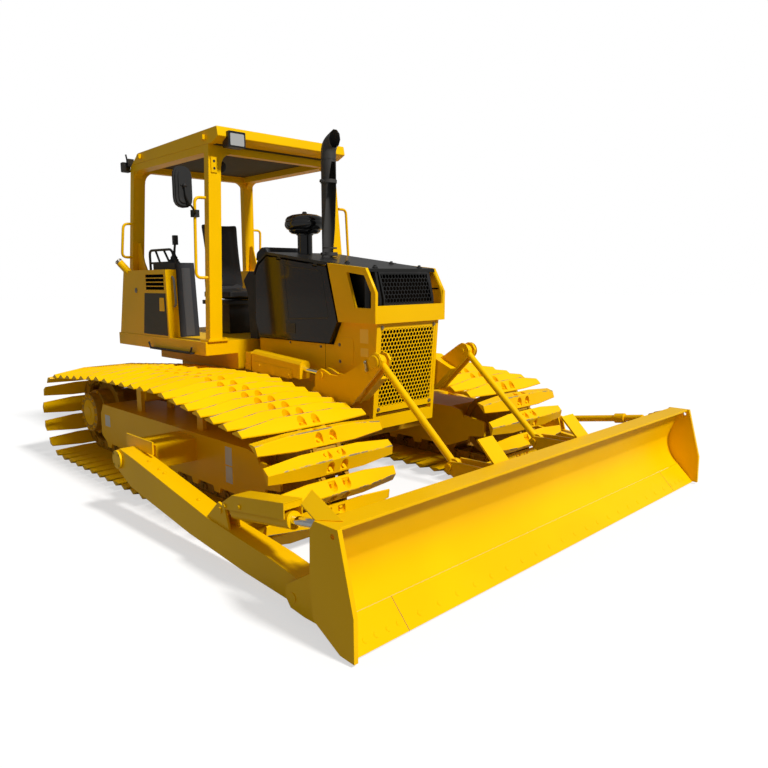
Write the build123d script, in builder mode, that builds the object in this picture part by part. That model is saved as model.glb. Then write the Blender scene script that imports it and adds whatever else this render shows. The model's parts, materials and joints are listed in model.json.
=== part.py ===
from build123d import *
from math import acos, atan2, cos, degrees, hypot, pi, radians, sin
import os

# A small swamp bulldozer: wide triangular shoes, straight tilt blade, bell-crank lift and a four-post canopy.
# Millimetres. X is the machine's left, Y runs to the rear, Z is up. The origin is on the ground, mid-length.
# Names ending in _Y and _Z are places, and a side is -1 for the right of the machine and +1 for the left.

RIGHT, LEFT = -1, 1
SIDES = ((RIGHT, "right"), (LEFT, "left"))
RUNNING_GAP = 6.0
SEAT_GAP = 0.3

# Tracks
TRACK_X = 1043.5
SHOE_WIDTH = 1000.0
SHOE_BASE = 150.0
SHOE_END_BASE = 100.0
SHOE_RIDGE = 68.0
SHOE_END_RIDGE = 28.0
SHOE_TAPER = 270.0
SHOE_COUNT = 50
SHOE_START = {RIGHT: 125.0, LEFT: 78.0}
PIN_DEPTH = 40.0
RAIL_SPACING = 95.0
RAIL_THICKNESS = 30.0
RAIL_DEPTH = 36.0
RAIL_BITE = 4.0
IDLER_Y = -930.0
IDLER_PIN_RADIUS = 292.0
IDLER_WIDTH = 66.0
SPROCKET_Y = 1943.0
SPROCKET_PIN_RADIUS = 315.0
SPROCKET_TEETH = 13
SPROCKET_WIDTH = 60.0
SPROCKET_ROOT_CLEAR = 48.0
TOOTH_WIDTH = 60.0
HUB_RADIUS = 178.0
HUB_FACE_X = 1256.0
CARRIER_RADIUS = 75.0
CARRIER_WIDTH = 240.0
ROLLER_RADIUS = 70.0
ROLLER_WIDTH = 236.0
ROLLER_COUNT = 8
ROLLER_FIRST_Y = -560.0
ROLLER_LAST_Y = 1500.0
PIN_LINE_Z = SHOE_RIDGE + PIN_DEPTH
IDLER_Z = PIN_LINE_Z + IDLER_PIN_RADIUS
SPROCKET_Z = PIN_LINE_Z + SPROCKET_PIN_RADIUS
ROLLER_Z = PIN_LINE_Z + RAIL_DEPTH + ROLLER_RADIUS
# carrier rollers: place along the machine, height of the chain's pins over each
CARRIERS = ((60.0, 822.0), (1030.0, 812.0))

# Track frames
FRAME_HALF = 226.0
FRAME_TOP_Z = 548.0
FRAME_LOW_Z = 208.0
FRAME_WALL = 20.0
FRAME_REAR_Y = 1650.0
FRAME_NOSE_Y = -640.0
FORK_FRONT_Y = -850.0
SHAFT_RADIUS = 45.0

# Trunnions and push arms
TRUNNION_Y = 146.0
TRUNNION_Z = 422.0
TRUNNION_BALL = 52.0
ARM_CLEAR = 96.5
ARM_WIDTH = 140.0
ARM_IN_X = TRACK_X + SHOE_WIDTH / 2 + ARM_CLEAR
ARM_OUT_X = ARM_IN_X + ARM_WIDTH
ARM_PIN_Y = -1816.0
ARM_PIN_Z = 129.0
ARM_PIN_RADIUS = 24.0
ARM_BALL = 45.0
ARM_BALL_PLAY = {RIGHT: 5.0, LEFT: SEAT_GAP}
ARM_SIDE_GAP = 14.0
CAP_THICKNESS = 18.0
BRACE_BASE_Y = -1115.0
BRACE_BASE_Z = 374.0
BRACE_EYE_Y = -1975.0
BRACE_EYE_Z = 507.0
BRACE_X = ARM_OUT_X - 50
EYE_WIDTH = 34.0
TILT_EAR_GAP = 22.0
EYE_RADIUS = 38.0
TILT_BARREL = 46.0
TILT_ROD = 24.0

# Blade
BLADE_OVERHANG = 93.0
BLADE_HALF = ARM_OUT_X + BLADE_OVERHANG
END_PLATE = 25.0
BLADE_LOW_Z = 15.0
BLADE_TOP_Z = 587.0
MOLDBOARD = 14.0
EDGE_THICKNESS = 20.0

# Lift linkage
LINK_X = 465.0
LINK_TOP_Y = -1068.0
LINK_TOP_Z = 1082.0
LINK_LOW_Y = -1712.0
LINK_LOW_Z = 494.0
LINK_RADIUS = 24.0
LINK_EYE = 44.0
LINK_EAR_GAP = 30.0
CRANK_Y = -450.0
CRANK_Z = 780.0
CRANK_PLATE = 20.0
CRANK_GAP = 56.0
ROD_EYE_Y = -510.0
ROD_EYE_Z = 938.0
LIFT_BASE_Y = 420.0
LIFT_BASE_Z = 1002.0
LIFT_COVER = ((-50, -73), (50, -73), (50, 36), (34, 58), (14, 65), (-14, 65), (-34, 58), (-50, 36))
LIFT_ROD = 20.0

# Body
BODY_HALF = 330.0
HOOD_HALF = BODY_HALF + 43
# the lower guard's front face leans: its place at two heights
GUARD_FRONT = ((-855.0, 551.0), (-906.0, 1318.0))
BAND_FRONT_Y = -931.0
BAND_LOW_Z = 1318.0
BAND_TOP_Z = 1441.0
CORE_LOW_Z = 655.0
GUARD_BEAM_TOP_Z = 641.0
GRILLE_LOW_Z = 672.0
GRILLE_TOP_Z = 1676.0
GUARD_SIDE_TOP_Z = 1144.0
SHEET = 25.0
DOOR_GAP = 7.0
HOOD_SHEET = 22.0
COWL_HALF = 268.0
HINGE_DROP = 14.0
HINGE_INSET = 8.0
HINGE_RADIUS = 7.0
KNUCKLE = 50.0
HINGE_PLACES = (110.0, 560.0)
STACK_Y = -36.0
STACK_RADIUS = 61.0
PRECLEANER_Y = 276.0
PRECLEANER_NECK = 62.0
BELLY_FRONT_Z = 551.0
BELLY_REAR_Z = 340.0
FRAME_HALF_X = BODY_HALF - 12
PLATFORM_TOP_Z = 1130.0
PLATFORM_DEPTH = 112.0
PLATFORM_HALF = 809.0
PLATFORM_FRONT_Y = 579.0
PLATFORM_REAR_Y = 2200.0
ROOF_TOP_Z = 2818.0
ROOF_DEPTH = 118.0
ROOF_HALF = 672.0
ROOF_FRONT_Y = 516.0
ROOF_REAR_Y = 2016.0
CONSOLE_TOP_Z = 1722.0
CONSOLE_IN_X = 700.0
POST_WIDTH = 116.0
POST_DEPTH = 68.0
POST_HEAD_X = ROOF_HALF - 2
POST_HEAD_Z = ROOF_TOP_Z - ROOF_DEPTH
# each pair of posts leans: outer face and front face at the foot, front face at the head, height of the foot
FRONT_POST = (766.0, 579.0, 646.0, PLATFORM_TOP_Z)
REAR_POST = (710.0, 2028.0, 1966.0, CONSOLE_TOP_Z)
RAIL_REACH = 95.0
HANDRAIL_RADIUS = 14.0

os.makedirs("parts", exist_ok=True)


def prism(points, x0, x1, mode=Mode.ADD):
    """A side outline of (y, z) points, carried across the machine from x0 to x1."""
    with BuildSketch(Plane.YZ.offset(min(x0, x1))) as outline:
        with BuildLine():
            Polyline(*points, close=True)
        make_face()
    extrude(outline.sketch, amount=abs(x1 - x0), mode=mode)


def front_prism(points, y0, y1, mode=Mode.ADD):
    """A front outline of (x, z) points, carried along the machine from y0 to y1."""
    with BuildSketch(Plane.XZ.offset(-max(y0, y1))) as outline:
        with BuildLine():
            Polyline(*points, close=True)
        make_face()
    extrude(outline.sketch, amount=abs(y1 - y0), mode=mode)


def block(x0, x1, y0, y1, z0, z1, mode=Mode.ADD):
    """A box between two corners."""
    with Locations(((x0 + x1) / 2, (y0 + y1) / 2, (z0 + z1) / 2)):
        Box(abs(x1 - x0), abs(y1 - y0), abs(z1 - z0), mode=mode)


def drum(y, z, radius, x0, x1, mode=Mode.ADD):
    """A cylinder across the machine from x0 to x1."""
    with Locations(((x0 + x1) / 2, y, z)):
        Cylinder(radius, abs(x1 - x0), rotation=(0, 90, 0), mode=mode)


def rod_between(start, end, radius, mode=Mode.ADD):
    """A round bar from one point to another."""
    run = Vector(*end) - Vector(*start)
    with Locations(Plane(origin=start, z_dir=run)):
        Cylinder(radius, run.length, align=(Align.CENTER, Align.CENTER, Align.MIN), mode=mode)


def pipe(points, radius, sides):
    """A tube of flat sides with a mitre at each of the points."""
    with BuildLine() as route:
        Polyline(*points)
    with BuildSketch(Plane(origin=route.line @ 0, z_dir=route.line % 0)) as ring:
        RegularPolygon(radius, sides)
    sweep(ring.sketch, path=route.line, transition=Transition.RIGHT)


def guard_front(z):
    """Where the lower guard's front face stands at a height."""
    (y0, z0), (y1, z1) = GUARD_FRONT
    return y0 + (y1 - y0) * (z - z0) / (z1 - z0)


def belt_stretches(circles):
    """Tangent lines and arcs of a belt round the circles, as ("line", start, end) or ("arc", centre, r, a0, a1)."""
    touch = []
    for index, (y0, z0, r0) in enumerate(circles):
        y1, z1, r1 = circles[(index + 1) % len(circles)]
        heading = atan2(z1 - z0, y1 - y0)
        lean = acos((r0 - r1) / hypot(y1 - y0, z1 - z0))
        touch.append(heading + lean)
    stretches = []
    for index, (y0, z0, r0) in enumerate(circles):
        start, end = touch[index - 1], touch[index]
        while end > start:
            end -= 2 * pi
        while start - end > 2 * pi:
            end += 2 * pi
        stretches.append(("arc", (y0, z0), r0, start, end))
        y1, z1, r1 = circles[(index + 1) % len(circles)]
        normal = (cos(end), sin(end))
        first = (y0 + r0 * normal[0], z0 + r0 * normal[1])
        last = (y1 + r1 * normal[0], z1 + r1 * normal[1])
        stretches.append(("line", first, last))
    return stretches


def stretch_length(stretch):
    if stretch[0] == "line":
        return hypot(stretch[2][0] - stretch[1][0], stretch[2][1] - stretch[1][1])
    return stretch[2] * (stretch[3] - stretch[4])


def track_circles(offset):
    """The circles that the chain runs on, each grown by offset from the pin line, front idler first."""
    circles = [(IDLER_Y, IDLER_Z, IDLER_PIN_RADIUS + offset)]
    for y, pin_z in CARRIERS:
        circles.append((y, pin_z - CARRIER_RADIUS - RAIL_DEPTH, CARRIER_RADIUS + RAIL_DEPTH + offset))
    circles.append((SPROCKET_Y, SPROCKET_Z, SPROCKET_PIN_RADIUS + offset))
    return circles


def belt_station(stretches, travel):
    """Point and outward angle at a distance along the belt."""
    for stretch in stretches:
        length = stretch_length(stretch)
        if travel <= length:
            if stretch[0] == "line":
                (ya, za), (yb, zb) = stretch[1], stretch[2]
                share = travel / length
                outward = atan2(zb - za, yb - ya) + pi / 2
                return ya + share * (yb - ya), za + share * (zb - za), outward
            (yc, zc), r, start = stretch[1], stretch[2], stretch[3]
            angle = start - travel / r
            return yc + r * cos(angle), zc + r * sin(angle), angle
        travel -= length
    return belt_station(stretches, travel)


def belt_outline(circles):
    """The belt's closed outline, drawn inside a line builder."""
    for stretch in belt_stretches(circles):
        if stretch[0] == "line":
            Line(stretch[1], stretch[2])
        else:
            (yc, zc), r, start, end = stretch[1:]
            middle = (start + end) / 2
            places = [(yc + r * cos(a), zc + r * sin(a)) for a in (start, middle, end)]
            ThreePointArc(*places)


# One swamp shoe, lying with its base on the ground plane and its ridge up. Its length runs along X.
with BuildPart() as shoe:
    half = SHOE_WIDTH / 2
    with BuildSketch(Plane.YZ.offset(-half)):
        with BuildLine():
            Polyline((-SHOE_BASE / 2, 0), (SHOE_BASE / 2, 0), (0, SHOE_RIDGE), close=True)
        make_face()
    extrude(amount=SHOE_WIDTH)
    for end in (-1, 1):
        for flank in (-1, 1):
            ridge_start = Vector(end * (half - SHOE_TAPER), 0, SHOE_RIDGE)
            ridge_end = Vector(end * half, 0, SHOE_END_RIDGE)
            foot_end = Vector(end * half, flank * SHOE_END_BASE / 2, 0)
            normal = (ridge_end - ridge_start).cross(foot_end - ridge_start)
            if normal.Z < 0:
                normal = -normal
            cut_plane = Plane(origin=ridge_start, z_dir=normal)
            with Locations(cut_plane):
                Box(2 * SHOE_WIDTH, 2 * SHOE_WIDTH, SHOE_WIDTH,
                    align=(Align.CENTER, Align.CENTER, Align.MIN), mode=Mode.SUBTRACT)


pin_belt = belt_stretches(track_circles(0))
belt_length = sum(stretch_length(stretch) for stretch in pin_belt)
print("chain length", round(belt_length, 1), "pitch", round(belt_length / SHOE_COUNT, 2))
shoe_pitch = belt_length / SHOE_COUNT

for side, name in SIDES:
    centre_x = side * TRACK_X
    with BuildPart() as track:
        for rail in (-1, 1):
            rail_low = centre_x + rail * RAIL_SPACING - RAIL_THICKNESS / 2
            with BuildSketch(Plane.YZ.offset(rail_low)):
                with BuildLine():
                    belt_outline(track_circles(PIN_DEPTH + RAIL_BITE))
                make_face()
                with BuildLine():
                    belt_outline(track_circles(-RAIL_DEPTH))
                make_face(mode=Mode.SUBTRACT)
            extrude(amount=RAIL_THICKNESS)
        seats = []
        for number in range(SHOE_COUNT):
            y, z, outward = belt_station(pin_belt, (number * shoe_pitch + SHOE_START[side]) % belt_length)
            y += PIN_DEPTH * cos(outward)
            z += PIN_DEPTH * sin(outward)
            seats.append(Location((centre_x, y, z), (degrees(outward) - 90, 0, 0)))
        with Locations(*seats):
            add(shoe.part)
    track.part.label = f"track_{name}"
    export_step(track.part, f"parts/track_{name}.step")

    with BuildPart() as idler:
        rim = IDLER_PIN_RADIUS - RAIL_DEPTH - RUNNING_GAP / 2
        drum(IDLER_Y, IDLER_Z, rim, centre_x - IDLER_WIDTH, centre_x + IDLER_WIDTH)
        for face in (-1, 1):
            drum(IDLER_Y, IDLER_Z, rim - 50, centre_x + face * (IDLER_WIDTH - 16),
                 centre_x + face * IDLER_WIDTH, mode=Mode.SUBTRACT)
        fork_gap = FRAME_HALF - FRAME_WALL - SEAT_GAP
        drum(IDLER_Y, IDLER_Z, SHAFT_RADIUS, centre_x - fork_gap, centre_x + fork_gap)
    idler.part.label = f"idler_{name}"
    export_step(idler.part, f"parts/idler_{name}.step")

    with BuildPart() as sprocket:
        root = SPROCKET_PIN_RADIUS - SPROCKET_ROOT_CLEAR
        drum(SPROCKET_Y, SPROCKET_Z, root, centre_x - SPROCKET_WIDTH / 2, centre_x + SPROCKET_WIDTH / 2)
        with BuildSketch(Plane.YZ.offset(centre_x - SPROCKET_WIDTH / 2)):
            with Locations((SPROCKET_Y, SPROCKET_Z)):
                with PolarLocations(root, SPROCKET_TEETH):
                    Trapezoid(TOOTH_WIDTH * 1.2, TOOTH_WIDTH, 62, rotation=-90)
        extrude(amount=SPROCKET_WIDTH)
        drum(SPROCKET_Y, SPROCKET_Z, HUB_RADIUS, centre_x, side * HUB_FACE_X)
        drum(SPROCKET_Y, SPROCKET_Z, HUB_RADIUS + 26, centre_x, side * (HUB_FACE_X - 70))
        drum(SPROCKET_Y, SPROCKET_Z, HUB_RADIUS + 10, side * (FRAME_HALF_X + SEAT_GAP), centre_x)
    sprocket.part.label = f"sprocket_{name}"
    export_step(sprocket.part, f"parts/sprocket_{name}.step")

    with BuildPart() as rollers:
        for number in range(ROLLER_COUNT):
            y = ROLLER_FIRST_Y + number * (ROLLER_LAST_Y - ROLLER_FIRST_Y) / (ROLLER_COUNT - 1)
            inner = FRAME_HALF - FRAME_WALL - SEAT_GAP
            drum(y, ROLLER_Z, ROLLER_RADIUS - SEAT_GAP, centre_x - ROLLER_WIDTH / 2, centre_x + ROLLER_WIDTH / 2)
            drum(y, ROLLER_Z, SHAFT_RADIUS - 10, centre_x - inner, centre_x + inner)
    rollers.part.label = f"rollers_{name}"
    export_step(rollers.part, f"parts/rollers_{name}.step")

    with BuildPart() as track_frame:
        outline = ((FORK_FRONT_Y + 12, FRAME_LOW_Z + 80), (FORK_FRONT_Y, FRAME_LOW_Z + 140),
                   (FORK_FRONT_Y + 92, FRAME_TOP_Z - 24), (FRAME_NOSE_Y - 20, FRAME_TOP_Z),
                   (FRAME_REAR_Y - 60, FRAME_TOP_Z), (FRAME_REAR_Y, FRAME_TOP_Z - 90),
                   (FRAME_REAR_Y, FRAME_LOW_Z + 60), (FRAME_REAR_Y - 100, FRAME_LOW_Z),
                   (FRAME_NOSE_Y, FRAME_LOW_Z))
        prism(outline, centre_x - FRAME_HALF, centre_x + FRAME_HALF)
        inside = FRAME_HALF - FRAME_WALL
        roller_room = ROLLER_Z + ROLLER_RADIUS + 20
        block(centre_x - inside, centre_x + inside, FORK_FRONT_Y - 10, FRAME_REAR_Y + 10,
              FRAME_LOW_Z - 10, roller_room, mode=Mode.SUBTRACT)
        block(centre_x - inside, centre_x + inside, FORK_FRONT_Y - 10, FRAME_NOSE_Y,
              FRAME_LOW_Z - 10, FRAME_TOP_Z + 10, mode=Mode.SUBTRACT)
        for face in (-1, 1):
            wall_in = centre_x + face * inside
            wall_out = centre_x + face * FRAME_HALF
            prism(((IDLER_Y - 70, IDLER_Z - 60), (IDLER_Y - 70, IDLER_Z + 60), (FORK_FRONT_Y + 60, IDLER_Z + 90),
                   (FORK_FRONT_Y + 60, IDLER_Z - 90)), wall_in, wall_out)
            for number in range(ROLLER_COUNT):
                y = ROLLER_FIRST_Y + number * (ROLLER_LAST_Y - ROLLER_FIRST_Y) / (ROLLER_COUNT - 1)
                prism(((y - 60, FRAME_LOW_Z + 30), (y + 60, FRAME_LOW_Z + 30), (y + 34, ROLLER_Z - 45),
                       (y - 34, ROLLER_Z - 45)), wall_in, wall_out)
        for y, pin_z in CARRIERS:
            carrier_z = pin_z - RAIL_DEPTH - CARRIER_RADIUS
            half_width = CARRIER_WIDTH / 2
            drum(y, carrier_z, CARRIER_RADIUS - SEAT_GAP, centre_x - half_width, centre_x + half_width)
            block(centre_x - half_width - 30, centre_x - half_width, y - 40, y + 40, FRAME_TOP_Z, carrier_z + 40)
            block(centre_x + half_width, centre_x + half_width + 30, y - 40, y + 40, FRAME_TOP_Z, carrier_z + 40)
        beam_in = side * (TRACK_X + FRAME_HALF - 1)
        beam_out = side * (ARM_IN_X - 60)
        prism(((TRUNNION_Y - 150, TRUNNION_Z - 76), (TRUNNION_Y - 150, TRUNNION_Z + 88),
               (TRUNNION_Y + 110, TRUNNION_Z + 98), (TRUNNION_Y + 110, TRUNNION_Z - 76)), beam_in, beam_out)
        drum(TRUNNION_Y, TRUNNION_Z, TRUNNION_BALL, beam_out, side * (ARM_OUT_X - 6))
    track_frame.part.label = f"track_frame_{name}"
    export_step(track_frame.part, f"parts/track_frame_{name}.step")

# Main frame between the tracks
with BuildPart() as main_frame:
    prism(((guard_front(BELLY_FRONT_Z) + 32, BELLY_FRONT_Z), (guard_front(BELLY_FRONT_Z) + 32, CORE_LOW_Z - SEAT_GAP),
           (-680, CORE_LOW_Z - SEAT_GAP), (-640, 700), (1980, 700), (2080, 600), (2080, 430), (1960, BELLY_REAR_Z),
           (-260, BELLY_REAR_Z), (-420, BELLY_FRONT_Z)), -FRAME_HALF_X, FRAME_HALF_X)
    reach = TRACK_X - FRAME_HALF
    for cross_y, cross_depth in ((-300, 90), (1180, 90)):
        block(-reach, reach, cross_y - cross_depth, cross_y + cross_depth, FRAME_LOW_Z + 150, FRAME_TOP_Z - 40)
main_frame.part.label = "main_frame"
export_step(main_frame.part, "parts/main_frame.step")

with BuildPart() as hitch:
    block(-110, 110, 2080 + SEAT_GAP, 2110, 440, 600)
    block(-60, 60, 2110, 2230, 545, 570)
    block(-60, 60, 2110, 2230, 465, 490)
    with Locations((0, 2185, 517)):
        Cylinder(20, 140, mode=Mode.SUBTRACT)
hitch.part.label = "hitch"
export_step(hitch.part, "parts/hitch.step")

# Push arms
arm_outline = ((TRUNNION_Y + 60, TRUNNION_Z + 50), (TRUNNION_Y - 20, TRUNNION_Z + 78), (-60, TRUNNION_Z + 50),
               (-999, 300), (-1595, 242), (-1833, 205), (ARM_PIN_Y - 66, ARM_PIN_Z + 34),
               (ARM_PIN_Y - 66, ARM_PIN_Z - 30), (ARM_PIN_Y - 30, ARM_PIN_Z - 64), (-1720, 72), (-1351, 92), (-776, 148),
               (-20, 262), (TRUNNION_Y + 20, TRUNNION_Z - 78), (TRUNNION_Y + 78, TRUNNION_Z - 30))
for side, name in SIDES:
    with BuildPart() as push_arm:
        prism(arm_outline, side * ARM_IN_X, side * ARM_OUT_X)
        drum(TRUNNION_Y, TRUNNION_Z, TRUNNION_BALL + SEAT_GAP, side * (ARM_IN_X - 1), side * (ARM_OUT_X + 1),
             mode=Mode.SUBTRACT)
        drum(ARM_PIN_Y, ARM_PIN_Z, ARM_BALL + ARM_BALL_PLAY[side], side * (ARM_IN_X - 1), side * (ARM_OUT_X + 1),
             mode=Mode.SUBTRACT)
        for ear in (-1, 1):
            ear_in = side * BRACE_X + ear * (EYE_WIDTH / 2 + RUNNING_GAP)
            prism(((BRACE_BASE_Y - 90, 260), (BRACE_BASE_Y - 46, BRACE_BASE_Z + 26),
                   (BRACE_BASE_Y + 20, BRACE_BASE_Z + 44), (BRACE_BASE_Y + 160, 290)), ear_in, ear_in + ear * 16)
        drum(BRACE_BASE_Y, BRACE_BASE_Z, 18, side * BRACE_X - 46, side * BRACE_X + 46)
        block(side * (ARM_IN_X + 20), side * (ARM_IN_X + 32), -140, 250, TRUNNION_Z + 60, TRUNNION_Z + 150)
    push_arm.part.label = f"push_arm_{name}"
    export_step(push_arm.part, f"parts/push_arm_{name}.step")

with BuildPart() as trunnion_caps:
    for side, name in SIDES:
        cap_in = side * (ARM_OUT_X + SEAT_GAP)
        drum(TRUNNION_Y, TRUNNION_Z, TRUNNION_BALL + 12, cap_in, cap_in + side * CAP_THICKNESS)
trunnion_caps.part.label = "trunnion_caps"
export_step(trunnion_caps.part, "parts/trunnion_caps.step")

# Blade: moldboard, end plates, rear box, brackets
edge_low = (-2270.0, BLADE_LOW_Z)
edge_top = (-2150.0, 145.0)
curve_mid = (-2068.0, 268.0)
curve_top = (-2062.0, 370.0)
moldboard_top = (-2132.0, 565.0)
lip = (-2190.0, BLADE_TOP_Z)
with BuildPart() as blade:
    inner_half = BLADE_HALF - END_PLATE
    with BuildSketch(Plane.YZ.offset(-inner_half)):
        with BuildLine():
            Line(edge_top, (edge_top[0] + 20, edge_top[1] - 8))
            Line((edge_top[0] + 20, edge_top[1] - 8), (-2010, 215))
            Line((-2010, 215), (-2010, 330))
            Line((-2010, 330), (-2044, 400))
            Line((-2044, 400), (-2060, 520))
            Line((-2060, 520), (-2060, BLADE_TOP_Z))
            Line((-2060, BLADE_TOP_Z), lip)
            Line(lip, (lip[0], lip[1] - MOLDBOARD))
            Line((lip[0], lip[1] - MOLDBOARD), moldboard_top)
            Line(moldboard_top, curve_top)
            ThreePointArc(curve_top, curve_mid, edge_top)
        make_face()
    extrude(amount=2 * inner_half)
    end_outline = ((-2301, BLADE_LOW_Z), (-2299, 222), (-2204, BLADE_TOP_Z), (-2048, BLADE_TOP_Z), (-2018, 540),
                   (-2012, 300), (-2032, 118), (-2210, BLADE_LOW_Z + 6))
    for side, name in SIDES:
        prism(end_outline, side * inner_half, side * BLADE_HALF)
        drum(-2171, 549, 13, side * (inner_half - 1), side * (BLADE_HALF + 1), mode=Mode.SUBTRACT)
        # ears for the push arm's front pin
        for ear_in, ear_out in ((ARM_IN_X - ARM_SIDE_GAP - 24, ARM_IN_X - ARM_SIDE_GAP),
                                (ARM_OUT_X + ARM_SIDE_GAP, ARM_OUT_X + ARM_SIDE_GAP + 24)):
            prism(((-2030, 60), (-2030, 300), (-1960, 300), (ARM_PIN_Y + 50, ARM_PIN_Z + 50),
                   (ARM_PIN_Y + 60, ARM_PIN_Z - 10), (ARM_PIN_Y + 20, ARM_PIN_Z - 58), (-1900, 60)),
                  side * ear_in, side * ear_out)
        pin_reach = ARM_SIDE_GAP + 28
        drum(ARM_PIN_Y, ARM_PIN_Z, ARM_PIN_RADIUS, side * (ARM_IN_X - pin_reach), side * (ARM_OUT_X + pin_reach))
        with Locations((side * (ARM_IN_X + ARM_OUT_X) / 2, ARM_PIN_Y, ARM_PIN_Z)):
            Sphere(ARM_BALL, rotation=(0, 90, 0))
        # ears for the tilt cylinder or brace
        for ear in (-1, 1):
            ear_in = side * BRACE_X + ear * (EYE_WIDTH / 2 + TILT_EAR_GAP)
            prism(((-2056, 440), (-2056, 580), (BRACE_EYE_Y + 10, BRACE_EYE_Z + 42),
                   (BRACE_EYE_Y + 42, BRACE_EYE_Z), (BRACE_EYE_Y + 10, BRACE_EYE_Z - 42)), ear_in, ear_in + ear * 16)
            drum(BRACE_EYE_Y, BRACE_EYE_Z, 24, ear_in + ear * 15, ear_in + ear * 26)
        # ears for the lift link
        for ear in (-1, 1):
            ear_in = side * LINK_X + ear * (EYE_WIDTH / 2 + LINK_EAR_GAP)
            prism(((-2046, 400), (-2056, 540), (LINK_LOW_Y, LINK_LOW_Z + 38), (LINK_LOW_Y + 38, LINK_LOW_Z),
                   (LINK_LOW_Y, LINK_LOW_Z - 38), (-2012, 300)), ear_in, ear_in + ear * 16)
            drum(LINK_LOW_Y, LINK_LOW_Z, 22, ear_in + ear * 15, ear_in + ear * 26)
        prism(((-2064, BLADE_TOP_Z - 20), (-1930, 706), (-1920, 698), (-2054, BLADE_TOP_Z - 28)),
              side * LINK_X - 73, side * LINK_X + 73)
blade.part.label = "blade"
export_step(blade.part, "parts/blade.step")

with BuildPart() as cutting_edge:
    lean_y = edge_top[0] - edge_low[0]
    lean_z = edge_top[1] - edge_low[1]
    size = hypot(lean_y, lean_z)
    back = (EDGE_THICKNESS * lean_z / size, -EDGE_THICKNESS * lean_y / size)
    gap_up = (lean_y / size * SEAT_GAP, lean_z / size * SEAT_GAP)
    top = (edge_top[0] - gap_up[0], edge_top[1] - gap_up[1])
    prism((edge_low, top, (top[0] + back[0], top[1] + back[1]), (edge_low[0] + back[0] * 1.2, BLADE_LOW_Z)),
          -(BLADE_HALF - END_PLATE - SEAT_GAP), BLADE_HALF - END_PLATE - SEAT_GAP)
cutting_edge.part.label = "cutting_edge"
export_step(cutting_edge.part, "parts/cutting_edge.step")

# Tilt cylinder on the right, turnbuckle brace on the left
brace_start = Vector(0, BRACE_BASE_Y, BRACE_BASE_Z)
brace_end = Vector(0, BRACE_EYE_Y, BRACE_EYE_Z)
brace_way = (brace_end - brace_start).normalized()


def on_brace(side, travel):
    point = brace_start + brace_way * travel
    return (side * BRACE_X, point.Y, point.Z)


brace_length = (brace_end - brace_start).length
with BuildPart() as tilt_cylinder:
    rod_between(on_brace(RIGHT, 110), on_brace(RIGHT, 620), TILT_BARREL)
    rod_between(on_brace(RIGHT, 30), on_brace(RIGHT, 120), EYE_WIDTH / 2)
    drum(BRACE_BASE_Y, BRACE_BASE_Z, EYE_RADIUS, RIGHT * BRACE_X - EYE_WIDTH / 2, RIGHT * BRACE_X + EYE_WIDTH / 2)
    drum(BRACE_BASE_Y, BRACE_BASE_Z, 19, RIGHT * BRACE_X - 60, RIGHT * BRACE_X + 60, mode=Mode.SUBTRACT)
    rod_between(on_brace(RIGHT, 300), on_brace(RIGHT, 630), TILT_ROD + SEAT_GAP, mode=Mode.SUBTRACT)
tilt_cylinder.part.label = "tilt_cylinder"
export_step(tilt_cylinder.part, "parts/tilt_cylinder.step")

with BuildPart() as tilt_rod:
    rod_between(on_brace(RIGHT, 400), on_brace(RIGHT, brace_length - 60), TILT_ROD)
    rod_between(on_brace(RIGHT, 400), on_brace(RIGHT, brace_length), EYE_WIDTH / 2)
    drum(BRACE_EYE_Y, BRACE_EYE_Z, EYE_RADIUS, RIGHT * BRACE_X - EYE_WIDTH / 2, RIGHT * BRACE_X + EYE_WIDTH / 2)
tilt_rod.part.label = "tilt_rod"
export_step(tilt_rod.part, "parts/tilt_rod.step")

with BuildPart() as brace:
    rod_between(on_brace(LEFT, 110), on_brace(LEFT, brace_length - 80), 27)
    rod_between(on_brace(LEFT, 30), on_brace(LEFT, brace_length - 30), EYE_WIDTH / 2)
    rod_between(on_brace(LEFT, 560), on_brace(LEFT, 640), 40)
    for y, z in ((BRACE_BASE_Y, BRACE_BASE_Z), (BRACE_EYE_Y, BRACE_EYE_Z)):
        drum(y, z, EYE_RADIUS, LEFT * BRACE_X - EYE_WIDTH / 2, LEFT * BRACE_X + EYE_WIDTH / 2)
    drum(BRACE_BASE_Y, BRACE_BASE_Z, 18 + SEAT_GAP, LEFT * BRACE_X - 60, LEFT * BRACE_X + 60, mode=Mode.SUBTRACT)
brace.part.label = "brace"
export_step(brace.part, "parts/brace.step")

# Lift linkage
lift_way = (Vector(0, ROD_EYE_Y, ROD_EYE_Z) - Vector(0, LIFT_BASE_Y, LIFT_BASE_Z)).normalized()


def on_lift(side, travel):
    point = Vector(0, LIFT_BASE_Y, LIFT_BASE_Z) + lift_way * travel
    return (side * LINK_X, point.Y, point.Z)


lift_length = (Vector(0, ROD_EYE_Y, ROD_EYE_Z) - Vector(0, LIFT_BASE_Y, LIFT_BASE_Z)).length
crank_outline = ((CRANK_Y + 62, CRANK_Z), (CRANK_Y + 44, CRANK_Z + 44), (CRANK_Y + 8, 850), (CRANK_Y + 8, 925),
                 (ROD_EYE_Y + 46, ROD_EYE_Z + 24), (ROD_EYE_Y + 8, ROD_EYE_Z + 47), (ROD_EYE_Y - 38, ROD_EYE_Z + 37),
                 (-610, 951), (-687, 951), (-784, 981), (-893, 1035), (LINK_TOP_Y + 36, LINK_TOP_Z + 48),
                 (LINK_TOP_Y + 6, LINK_TOP_Z + 62), (LINK_TOP_Y - 34, LINK_TOP_Z + 52), (LINK_TOP_Y - 60, LINK_TOP_Z + 12),
                 (LINK_TOP_Y - 50, LINK_TOP_Z - 37), (-836, 761), (CRANK_Y - 60, 716), (CRANK_Y + 12, 718),
                 (CRANK_Y + 48, 741))
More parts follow.
